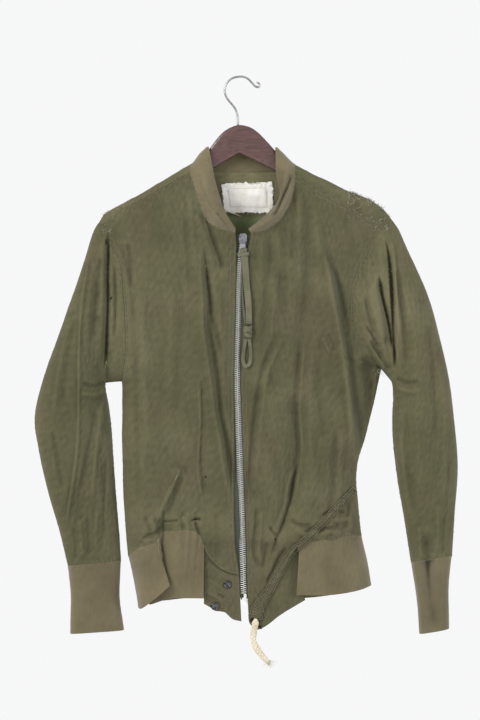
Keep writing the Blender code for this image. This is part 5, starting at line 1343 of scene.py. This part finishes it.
# ----------------------------------------
# Stitching: lockstitch in olive cotton thread, a row beside each felled seam and edge, and rows
# crossing over the casing's lower end. Each stitch is a short thread that dips in at both ends.
def seam_row(name, side, offset, stop=1.0):
    """Line on a panel, some mm in from one of its sides, with the way out of the cloth."""
    grid, normals = surfaces[name]
    if side in ("first", "last"):
        grid, normals = grid.swapaxes(0, 1), normals.swapaxes(0, 1)
    if side in ("low", "last"):
        grid, normals = grid[::-1], normals[::-1]
    gap = travelled(grid)
    cells = range(round(stop * (grid.shape[1] - 1)) + 1)
    return tuple(np.array([on_line(offset, gap[:, j], field[:, j]) for j in cells])
                 for field in (grid, normals))


def stitched(heap, line, outwards, pitch=3.2, long=2.3, radius=0.27):
    """A row of stitches along a line on the cloth."""
    run = travelled(line)
    starts = (np.arange(int(run[-1] / pitch)) + 0.2) * pitch
    at = starts[:, None] + long * np.array([0, 0.18, 0.5, 0.82, 1])
    proud = radius * np.array([-1.1, 0.3, 0.7, 0.3, -1.1])[:, None]
    for path in on_line(at, run, line) + on_line(at, run, outwards) * proud:
        heap.add(tube_points(path, radius, 4), tube_faces(5, 4))


def thread_finish(name, colour):
    made = Finish(name, Roughness=0.75, Sheen_Weight=0.2)
    whole, *_ = made.place()
    twist = made.cloud(whole, 0.0007, 1, 0.6)
    return made.feed(Base_Color=made.bright(made.ramp(twist, (0.3, colour), (0.7, tuple(
        1.25 * c for c in colour))), 0.75 + 0.5 * twist))


THREAD = thread_finish("olive thread", (0.135, 0.125, 0.076))
sewn = Heap()
# Rows of stitches: mm in from a panel's side
rows = {"front_right": (("last", 3.4, 10), ("top", 2.4), ("low", 2.4)),
        "front_left": (("first", 3.4, 10), ("top", 2.4), ("low", 2.4)),
        "back": (("top", 2.4), ("low", 2.4)),
        "front_tail": (("low", 3.0, 7.5), ("first", 3.0)),
        "snap_tab": (("low", 3.2, 8.0), ("first", 3.0), ("last", 3.0), ("top", 15.0, 20.0)),
        "casing": (("first", 1.3, 4.6), ("last", 1.3, 4.6)),
        "sleeve_right_back": (("last", 3.0),), "sleeve_left_back": (("last", 3.0),)}
for name, sides in rows.items():
    for side, *offsets in sides:
        for offset in offsets:
            stitched(sewn, *seam_row(name, side, offset))
for name, side, last in (("front_right", "first", 10 / 21), ("front_left", "last", 10 / 21),
                         ("back", "first", 15 / 26), ("back", "last", 15 / 26)):
    for offset in (2.4, 8.5):
        stitched(sewn, *seam_row(name, side, offset, last))
cells = np.arange(154, 225)             # the casing's lower end, where rows cross over it
for slant in (0.30, 0.16, -0.16, -0.30):
    over = np.clip(8 + 7.2 * np.sin((cells - 154) / 68 * 2.4 * math.pi + slant * 6), 0.6, 15.4)
    where = np.floor(over).astype(int)
    share = (over - where)[:, None]
    fields = [(1 - share) * field[cells, where] + share * field[cells, where + 1]
              for field in surfaces["casing"]]
    stitched(sewn, *fields, pitch=2.7, long=2.0)
cross_ground = ground("casing_cloth", "front_tail_cloth", "front_left_cloth")
for shift in (-3.2, 2.4):
    for crossing in (((14, -796), (18, -807), (26, -822), (38, -842), (45, -864)),
                     ((20, -848), (27, -838), (36, -827), (48, -808))):
        flat = smooth(crossing, even(40)) + (shift, shift * 0.6)
        y = np.array([foremost(cross_ground, px, pz, 3, 12) for px, pz in flat])
        known = ~np.isnan(y)
        y = np.interp(even(40), even(40)[known], y[known])
        stitched(sewn, np.stack([flat[:, 0], y, flat[:, 1]], 1), np.tile((0, -1.0, 0), (41, 1)),
                 pitch=3.0)
piece("stitching", sewn.points(), sewn.faces, [THREAD])

# ----------------------------------------
# Label: a blank patch of unbleached cotton canvas, sewn inside the back below the neck along a
# line 8 mm from its raw, frayed edge. A torn strip of it hangs at the lower left corner.
LABEL = table("x z", (-30, -169.6), (51, -167.2), (54, -216), (-24, -214.4))
LABEL_WIDTH, LABEL_HEIGHT, LABEL_SEAM = 81, 47, 8


def canvas_finish():
    made = Finish("cotton canvas", Roughness=0.9, Sheen_Weight=0.2)
    whole, x, y, z = made.place()
    weave = x.wave(0.0011) * z.wave(0.0011) * 0.5 + 0.5
    slub = made.cloud(made.vector(x * 0.1, y, z), 0.0012, 2, 0.6)
    soil = made.cloud(whole, 0.018, 3, 0.6)
    low = (z * -1.0).between(0.203, 0.222) * (1 - x.between(-0.015, 0.012))
    colour = made.ramp(soil, (0.3, (0.82, 0.785, 0.70)), (0.65, (0.92, 0.90, 0.86)))
    colour = made.mix(low * 0.6, colour, (0.72, 0.67, 0.47))
    light = 0.86 + 0.10 * weave + 0.12 * slub
    return made.feed(Base_Color=made.bright(colour, light),
                     Normal=made.relief(0.6 * weave + 0.4 * slub, 0.0004, 0.6))


CANVAS = canvas_finish()
back_ground = ground("back_cloth")
corners = column_points(LABEL)
u, v = even(72)[None, :, None], even(44)[:, None, None]
flat = ((1 - v) * ((1 - u) * corners[0] + u * corners[1])
        + v * ((1 - u) * corners[3] + u * corners[2]))
border = np.minimum(np.minimum(u, 1 - u) * LABEL_WIDTH,
                    np.minimum(v, 1 - v) * LABEL_HEIGHT)[..., 0]
ragged = np.exp(-border / 1.6)
flat[..., 0] += ragged * 0.7 * ripple(flat[..., 0], flat[..., 1], 6, 1, 21)
flat[..., 1] += ragged * 0.9 * ripple(flat[..., 0], flat[..., 1], 7, 1, 22)
label = np.zeros((45, 73, 3))
label[..., 0], label[..., 2] = flat[..., 0], flat[..., 1]
rest = np.array([[foremost(back_ground, *spot, limit=60) for spot in row[::6]]
                 for row in flat[::4]])
rest = np.array([np.interp(even(72), even(12), row) for row in rest])
rest = np.array([np.interp(even(44), even(11), rest[:, j]) for j in range(73)]).T
label[..., 1] = (rest - 2.0 - 0.25 * ripple(flat[..., 0], flat[..., 1], 16, 1, 23)
                 - 1.1 * ragged * (0.5 + 0.5 * ripple(flat[..., 0], flat[..., 1], 14, 1, 24))
                 + 0.35 * np.exp(-((border - LABEL_SEAM) / 1.2) ** 2))
grids["label"] = label
shell("label", True, 0.7, [CANVAS], "top",
      crumple=0.0)
edge_line = [(8, j) for j in range(9, 64)] + [(i, 63) for i in range(8, 36)]
edge_line += [(36, j) for j in range(63, 8, -1)] + [(i, 9) for i in range(36, 7, -1)]
cells = np.array(edge_line + edge_line[:1])
sewn = Heap()
stitched(sewn, *(field[cells[:, 0], cells[:, 1]] for field in surfaces["label"]), pitch=3.0)
piece("label_stitches", sewn.points(), sewn.faces,
      [thread_finish("brown thread", (0.23, 0.19, 0.14))])
frayed = Heap()
loose = np.random.default_rng(11)
for _ in range(330):
    side, share = loose.integers(4), loose.uniform(0.01, 0.99)
    i, j, way = ((0, share * 72, (0, -0.2, 1)), (44, share * 72, (0, -0.2, -1)),
                 (share * 44, 0, (-1, -0.2, 0)), (share * 44, 72, (1, -0.2, 0)))[side]
    root = label[int(i), int(j)] + (0, 0.35, 0)
    fibres(frayed, loose, root, way, 2, loose.uniform(1.2, 3.4), 0.17, 1)
for strand in range(5):
    share = even(14)[:, None]
    start, end = np.array([(-22, -0.4, -212.5), (1.5 - 1.5 * strand, -3.2, -222 + 0.7 * strand)])
    path = start + (end - start) * share + (0, 0, 2.2 - strand) * share * (1 - share)
    path[:, 1] += label[40, 8, 1] - 0.6
    frayed.add(tube_points(path, 1.25 * (1.1 - share[:, 0]), 6), tube_faces(15, 6))
piece("label_fray", frayed.points(), frayed.faces, [CANVAS])

# ----------------------------------------
# Zip: brass teeth, worn pale, clamped on two dark woven tapes that are sewn behind the fronts'
# edges; the slider with its arch, the pull tab that swings on it, and the box at the foot.
TAPE_END = {"right": -782, "left": -834.9}
ZIP_FOOT = -835.2
ZIP_HEAD = -270.3
TOOTH_PITCH = 3.4
TAPE_GAP = 3.6                          # from the zip's middle to the edge of either tape
TAPE_WIDTH = 9


def tape_finish():
    made = Finish("zip tape", Roughness=0.85, Sheen_Weight=0.1)
    whole, _, _, z = made.place()
    rib = z.wave(0.0012) * 0.5 + 0.5
    faded = made.cloud(whole, 0.05, 2)
    colour = made.ramp(faded, (0.3, (0.036, 0.042, 0.028)), (0.7, (0.054, 0.060, 0.042)))
    return made.feed(Base_Color=made.bright(colour, 0.8 + 0.4 * rib),
                     Normal=made.relief(rib, 0.0003, 0.6))


def metal_finish(name, bright, dull, rough, metal=1.0):
    """Worn metal: bright where it is rubbed, dull and darker in its patches of tarnish."""
    made = Finish(name, Metallic=metal)
    whole, *_ = made.place()
    tarnish = made.cloud(whole, 0.006, 4, 0.65)
    scratch = made.cloud(whole, 0.0007, 2, 0.6)
    colour = made.ramp(tarnish * 0.75 + scratch * 0.25, (0.36, dull), (0.56, bright))
    return made.feed(Base_Color=colour, Roughness=rough + 0.22 * tarnish,
                     Normal=made.relief(scratch, 0.0001, 0.5))


TAPE = tape_finish()
ZIP_METAL = metal_finish("worn zip metal", (0.97, 0.96, 0.93), (0.72, 0.71, 0.67), 0.34, 0.6)
SLIDER_METAL = metal_finish("slider metal", (0.46, 0.47, 0.49), (0.10, 0.11, 0.13), 0.24)
tape_lines = {}
for side, name, edge, step in ((-1, "right", -1, -4), (1, "left", 0, 4)):
    outer, normals = surfaces["front_" + name]
    behind = outer - (CLOTH_THICK + 0.4) * normals
    near, inside = behind[:, edge].copy(), behind[:, edge + step]
    far = near + TAPE_WIDTH / np.linalg.norm(inside - near, axis=1)[:, None] * (inside - near)
    near[:, 0] = zip_middle(near[:, 2]) + side * TAPE_GAP
    for line in (near, far):
        line[:, 1] += 1.7
    keep = (near[:, 2] > TAPE_END[name]) & (near[:, 2] < -252)
    near, far = near[keep], far[keep]
    if side < 0:
        strip = surfaces["snap_tab"][0][:, -1]
        strip = strip[(strip[:, 2] < TAPE_END[name]) & (strip[:, 2] > ZIP_FOOT)]
        low_near, low_far = strip.copy(), strip.copy()
        low_near[:, 0] = zip_middle(strip[:, 2]) - 3.3
        low_far[:, 0] = low_near[:, 0] - 2.3
        for line in (low_near, low_far):
            line[:, 1] += 1.3
        near, far = np.concatenate([near, low_near]), np.concatenate([far, low_far])
    share = even(5)[None, :, None]
    web = near[:, None] * (1 - share) + far[:, None] * share
    grids["zip_tape_" + name] = web if side > 0 else web[:, ::-1]
    shell("zip_tape_" + name, True, 0.9, [TAPE], "",
          crumple=0.0)
    tape_lines[name] = near

tooth_outline = np.array([(-4.9, -0.50), (-1.4, -0.52), (0.1, -0.48), (0.4, -0.30), (0.6, 0),
                          (0.4, 0.30), (0.1, 0.48), (-1.4, 0.52), (-4.9, 0.50)])
teeth = Heap()
z = np.arange(ZIP_HEAD, ZIP_FOOT + 8.7, -TOOTH_PITCH / 2)
depth = sum(np.interp(-z, -line[:, 2], line[:, 1]) for line in tape_lines.values()) / 2 - 1.2
for k, (height, y) in enumerate(zip(z, levelled(depth, 8))):
    side = 1 if k % 2 else -1
    rings = []
    for layer, size in ((-1.6, 0.72), (-1.25, 1), (1.25, 1), (1.6, 0.72)):
        ring = tooth_outline * (1, size) - (0.56 * (1 - size), 0)
        rings.append(np.stack([zip_middle(height) - side * ring[:, 0], np.full(9, y + layer),
                               height + side * ring[:, 1]], 1))
    teeth.add(np.concatenate(rings), tube_faces(4, 9))
piece("zip_teeth", teeth.points(), teeth.faces, [ZIP_METAL], hides=["zip_chain"])
for name in ("zip_slider", "pull_tab"):
    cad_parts[name].material_slots[0].material = SLIDER_METAL.made
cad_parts["zip_box"].material_slots[0].material = ZIP_METAL.made

# ----------------------------------------
# Pull strap: one length of light olive woven tape, doubled through the tab's slot, knotted with an
# overhand knot, with the loop and the cut ends below. It swings with the tab.
STRAP_RIGHT = [(2.6, -282.6), (3.4, -320), (5.6, -365), (9.5, -396)]
STRAP_LEFT = [(6.8, -282.6), (10.2, -330), (13.8, -370), (14.4, -396)]
STRAP_LOOP = [(9.0, -419), (6.2, -438), (5, -455), (8.5, -462.5), (14, -460), (16.6, -449),
              (14.6, -419)]
KNOT = (12.4, -407.5)
STRAP_THICK = 1.3


def strap_finish():
    made = Finish("strap tape", Roughness=0.85, Sheen_Weight=0.2)
    whole, x, _, z = made.place()
    weave = z.wave(0.0016) * x.wave(0.0018) * 0.5 + 0.5
    soil = made.cloud(whole, 0.02, 3)
    colour = made.ramp(soil, (0.32, (0.096, 0.092, 0.051)), (0.66, (0.140, 0.130, 0.080)))
    return made.feed(Base_Color=made.bright(colour, 0.78 + 0.4 * weave),
                     Normal=made.relief(weave, 0.0005, 0.7))


def ribbon(name, path, width, facing, hides):
    """Flat woven tape along a path; `facing` turns its width away from across, in radians."""
    tangent = unit(np.gradient(path, axis=0))
    across_way = unit(np.cross(tangent, (0, -1, 0)))
    out_way = np.cross(across_way, tangent)
    turn = np.broadcast_to(facing, len(path))[:, None]
    one = np.cos(turn) * across_way + np.sin(turn) * out_way
    other = np.cos(turn) * out_way - np.sin(turn) * across_way
    angle = circle(20)
    flat = boxy(np.cos(angle), 0.6) * 0.5
    thick = boxy(np.sin(angle), 0.6) * 0.5 * STRAP_THICK
    width = np.broadcast_to(width, len(path))[:, None]
    points = (path[:, None] + (flat * width)[..., None] * one[:, None]
              + (thick + 0.25 * np.cos(2 * angle))[None, :, None] * other[:, None])
    piece(name, points.reshape(-1, 3), tube_faces(len(path), 20), [STRAP],
          body="zip_pull", hides=hides)


STRAP = strap_finish()
strap_ground = ground("front_left_cloth", "front_right_cloth", "zip_teeth")
tab_low, tab_high = (np.array(corner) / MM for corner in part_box("pull_tab"))
tab_depth = (tab_low[1] + tab_high[1]) / 2


def in_front(points, cells, stand, top_y=None):
    """The strand's path: in front of the cloth, and from the tab's depth where one is given."""
    flat = smooth(points, even(cells))
    y = np.array([foremost(strap_ground, px, pz, 3.5) for px, pz in flat]) - stand
    y = np.minimum(y, read([0, 0.5, 1], [y[0], y[len(y) // 2], y[-1]], even(cells)))
    if top_y is not None:
        y = np.minimum(y, top_y + even(cells) * 40)
    return np.stack([flat[:, 0], y, flat[:, 1]], 1)


share = even(60)
right_strand = in_front(STRAP_RIGHT, 60, 2.6, tab_depth)
left_strand = in_front(STRAP_LEFT, 60, 3.6, tab_depth)
ribbon("strap_right", right_strand, 6.0, 0.9 + 0.4 * np.sin(4 * share), ["pull_strap_right"])
ribbon("strap_left", left_strand, 11 - 1.5 * share, 0.15 - 0.3 * share, ["pull_strap_left"])
over_tab = smooth([(6, tab_depth + out, z) for out, z in (
    (-1.6, -288), (-3.0, -283), (-2.6, -277), (0, -274.8), (2.4, -277), (2.4, -284))], even(30))
over_tab[:, 0] = (tab_low[0] + tab_high[0]) / 2 + 0.6
ribbon("strap_fold", over_tab, 11 + 2 * even(30), 0.0, [])
bar_y = min(tab_depth - 3.6, left_strand[0, 1] - 1.6, over_tab[:, 1].min() - 1.6)
wrap = smooth([(-3.8, bar_y + 4, -285.2), (-3.2, bar_y + 1, -285.0), (5, bar_y, -284.4),
               (13.4, bar_y + 1, -283.2), (14.2, bar_y + 4, -283.0)], even(30))
ribbon("strap_wrap", wrap, 5.2, 0.0, [])
loop = in_front(STRAP_LOOP, 90, 3.0)
ribbon("strap_loop", loop, 5.6, 0.5 * np.sin(even(90) * 6), ["pull_loop"])
knot_y = foremost(strap_ground, *KNOT, 6) - 6.2
around = even(72) * 2 * math.pi
turns = [(6.0, 4.9, 3.6, 0.5, 0.0), (5.2, 4.6, -3.6, -0.6, 1.0), (5.8, 5.1, 0.2, 0.9, 2.2)]
core = Heap()
for wide, thick, lift, tilt, phase in turns:
    path = np.stack([KNOT[0] + wide * np.cos(around), knot_y + thick * np.sin(around),
                     KNOT[1] + lift + wide * tilt * np.cos(around + phase)], 1)
    ring = circle(12)
    radial = unit((path - (KNOT[0], knot_y, KNOT[1])) * (1, 1, 0))
    upright = unit(np.cross(radial, np.gradient(path, axis=0)))
    points = (path[:, None] + 0.9 * np.cos(ring)[None, :, None] * radial[:, None]
              + 3.2 * np.sin(ring)[None, :, None] * upright[:, None])
    core.add(points.reshape(-1, 3), tube_faces(73, 12))
levels = np.linspace(-0.97, 0.97, 15)
girth = np.sqrt(1 - levels ** 2)[:, None]
ring = circle(24)
core.add(np.stack([KNOT[0] + 6.0 * girth * np.cos(ring), knot_y + 4.0 * girth * np.sin(ring),
                   KNOT[1] + 7.6 * levels[:, None] + 0 * ring], -1).reshape(-1, 3),
         tube_faces(15, 24))
piece("strap_knot", core.points(), core.faces, [STRAP], body="zip_pull",
      hides=["pull_knot"])

# ----------------------------------------
# Snaps: two blackened ring snaps set through the tab, a rolled rim round a sunk spring plate.
SNAPS = {"snap_upper": (-19.8, -811), "snap_lower": (-40, -846)}
SNAP_RADIUS = 6.5
GUNMETAL = metal_finish("gunmetal", (0.13, 0.13, 0.14), (0.008, 0.008, 0.010), 0.16)
tab_ground = ground("snap_tab_cloth")
SNAP_PROFILE = [(0.05, -1.7), (1.0, -1.7), (1.5, -1.5), (1.8, -1.0), (2.4, -0.8), (3.3, -0.8),
                (3.8, -1.1), (4.2, -1.9), (4.8, -2.35), (5.4, -2.3), (6.0, -1.8), (6.4, -1.1),
                (6.5, -0.5), (6.4, 0.0), (5.0, 0.2), (0.05, 0.2)]
for name, (x, z) in SNAPS.items():
    rim = [foremost(tab_ground, x + SNAP_RADIUS * 0.8 * math.cos(a),
                    z + SNAP_RADIUS * 0.8 * math.sin(a)) for a in even(12) * 2 * math.pi]
    seat = np.nanmin(rim) + 0.1
    points = []
    for radius, lift in SNAP_PROFILE:
        for a in circle(48):
            spring = 0.25 if 3 < radius < 4 and math.sin(2 * a) > 0.2 else 0
            points.append((x + radius * math.cos(a), seat + lift - spring,
                           z + radius * math.sin(a)))
    piece(name + "_ring", points, tube_faces(len(SNAP_PROFILE), 48), [GUNMETAL],
          hides=[name])

# ----------------------------------------
# Hanger: cut from one board 13 mm thick, edges rounded, stained red-brown and varnished, with a
# hook of 3.5 mm plated steel wire screwed into its top.
HANGER_TOP = table("x z",
    (-192, -217), (-180, -206), (-150, -188.5), (-123, -174), (-98, -161.5), (-84, -155),
    (-70, -142), (-57, -125), (-50, -115), (-26, -86), (-14.5, -79), (-3, -75.5), (8, -76.4),
    (20, -80.8), (31.5, -89.5), (43, -101.4), (55, -115), (62, -125), (76, -144), (90, -156),
    (104, -161.5), (136, -174.5), (171, -190), (200, -205), (212, -216.5))
HANGER_LOW = table("x z",
    (-192, -228), (-150, -210), (-98, -182), (-43, -145), (-1, -121), (54, -148), (104, -180),
    (171, -210), (212, -228))
HOOK_PATH = [(-3.2, -75.3), (-3.8, -62), (-6, -53), (-12.5, -43), (-19, -35.5), (-23.4, -27),
             (-24.4, -19), (-21.7, -9.5), (-14, -1.5), (-3, 1.8), (6, 1.6), (13.3, -2),
             (19.5, -8.3), (25.2, -14), (30, -14.6), (31, -10), (26, -6.4)]
WOOD_THICK = 13.0
HOOK_WIRE = 3.5


def wood_finish():
    made = Finish("varnished wood", Coat_Roughness=0.12, Coat_IOR=1.5)
    whole, x, y, z = made.place()
    wander = made.cloud(whole, 0.09, 2)
    grain = made.cloud(made.vector(x * 0.10, y * 2 + wander * 0.02, z + wander * 0.03), 0.0020, 3,
                       0.6)
    pores = made.cloud(made.vector(x * 0.06, y, z), 0.0006, 2, 0.6)
    colour = made.ramp(grain, (0.36, (0.052, 0.020, 0.017)), (0.5, (0.074, 0.029, 0.025)),
                       (0.66, (0.098, 0.040, 0.034)))
    return made.feed(Base_Color=made.bright(colour, 0.85 + 0.3 * pores),
                     Roughness=0.28 + 0.2 * grain, Coat_Weight=0.75 + 0.2 * grain,
                     Normal=made.relief(pores, 0.0002, 0.35))


WOOD = wood_finish()
stations = np.unique(np.concatenate([np.linspace(-192, 212, 161), HANGER_TOP["x"],
                                     HANGER_LOW["x"]]))
top = read(HANGER_TOP["x"], HANGER_TOP["z"], stations)
low = np.interp(stations, HANGER_LOW["x"], HANGER_LOW["z"])
ease = np.minimum(1, np.sqrt(np.maximum(0.05, 1 - ((stations - 10) / 203) ** 2)) * 1.6)
angle = 2 * math.pi * (np.arange(32) + 0.5) / 32
bulge, lift = boxy(np.cos(angle), 0.55), boxy(np.sin(angle), 0.55)
board = np.stack([np.broadcast_to(stations[:, None], (len(stations), 32)),
                  ease[:, None] * bulge * WOOD_THICK / 2,
                  (top + low)[:, None] / 2 + lift * (top - low)[:, None] / 2], -1)
piece("hanger_board", board.reshape(-1, 3), tube_faces(len(stations), 32), [WOOD],
      hides=["hanger_body"])
STEEL = metal_finish("plated steel", (0.42, 0.42, 0.43), (0.26, 0.26, 0.27), 0.28)
hook = smooth([(x, 0, z) for x, z in HOOK_PATH], even(160))
wire = np.full(161, HOOK_WIRE / 2)
wire[-5:] *= np.array([0.98, 0.92, 0.8, 0.6, 0.3])
piece("hook_wire", tube_points(hook, wire, 20), tube_faces(161, 20), [STEEL],
      hides=["hanger_hook"])

# ----------------------------------------
# Wear: threads have worked loose where the cloth is worn through, at the left shoulder's seam,
# under the left arm and at the right shoulder's tip.
SATEEN_THREAD = thread_finish("sateen threads", (0.120, 0.113, 0.062))
PALE_THREAD = thread_finish("bleached threads", (0.42, 0.40, 0.31))
loose = np.random.default_rng(7)
threads, bleached = Heap(), Heap()
body_ground = ground("back_cloth", "front_left_cloth", "front_right_cloth",
                     "sleeve_left_front_cloth", "sleeve_right_front_cloth",
                     "sleeve_left_back_cloth", "sleeve_right_back_cloth")
for x in np.concatenate([loose.uniform(172, 238, 130), loose.normal(184, 6, 190),
                         loose.normal(208, 3, 70), loose.normal(226, 5, 110),
                         loose.normal(-214, 4, 40)]):
    y = loose.uniform(-15, 1)
    top = body_ground.ray_cast(Vector((x * MM, y * MM, 0)), Vector((0, 0, -1)))[0]
    heap = bleached if loose.uniform() < 0.35 else threads
    fibres(heap, loose, (x, y, top.z / MM - 0.2), (0.5 * np.sign(x), -0.6, 0.5), 5,
           loose.uniform(2, 5.5), 0.32, 1)
for spot, count, size in (((222, -20, -472), 34, 12), ((-212, -8, -246), 12, 6)):
    y = foremost(ground("front_left_cloth", "front_right_cloth", "sleeve_left_front_cloth",
                        "sleeve_right_front_cloth"), spot[0], spot[2], 2)
    for _ in range(count):
        root = (spot[0] + loose.normal(0, 3), spot[1] if np.isnan(y) else y,
                spot[2] + loose.normal(0, 3))
        fibres(bleached, loose, root, (0.3, -0.7, 0.1), 3, size * loose.uniform(0.4, 1), 0.2, 1)
piece("loose_threads", threads.points(), threads.faces, [SATEEN_THREAD])
piece("bleached_threads", bleached.points(), bleached.faces, [PALE_THREAD])
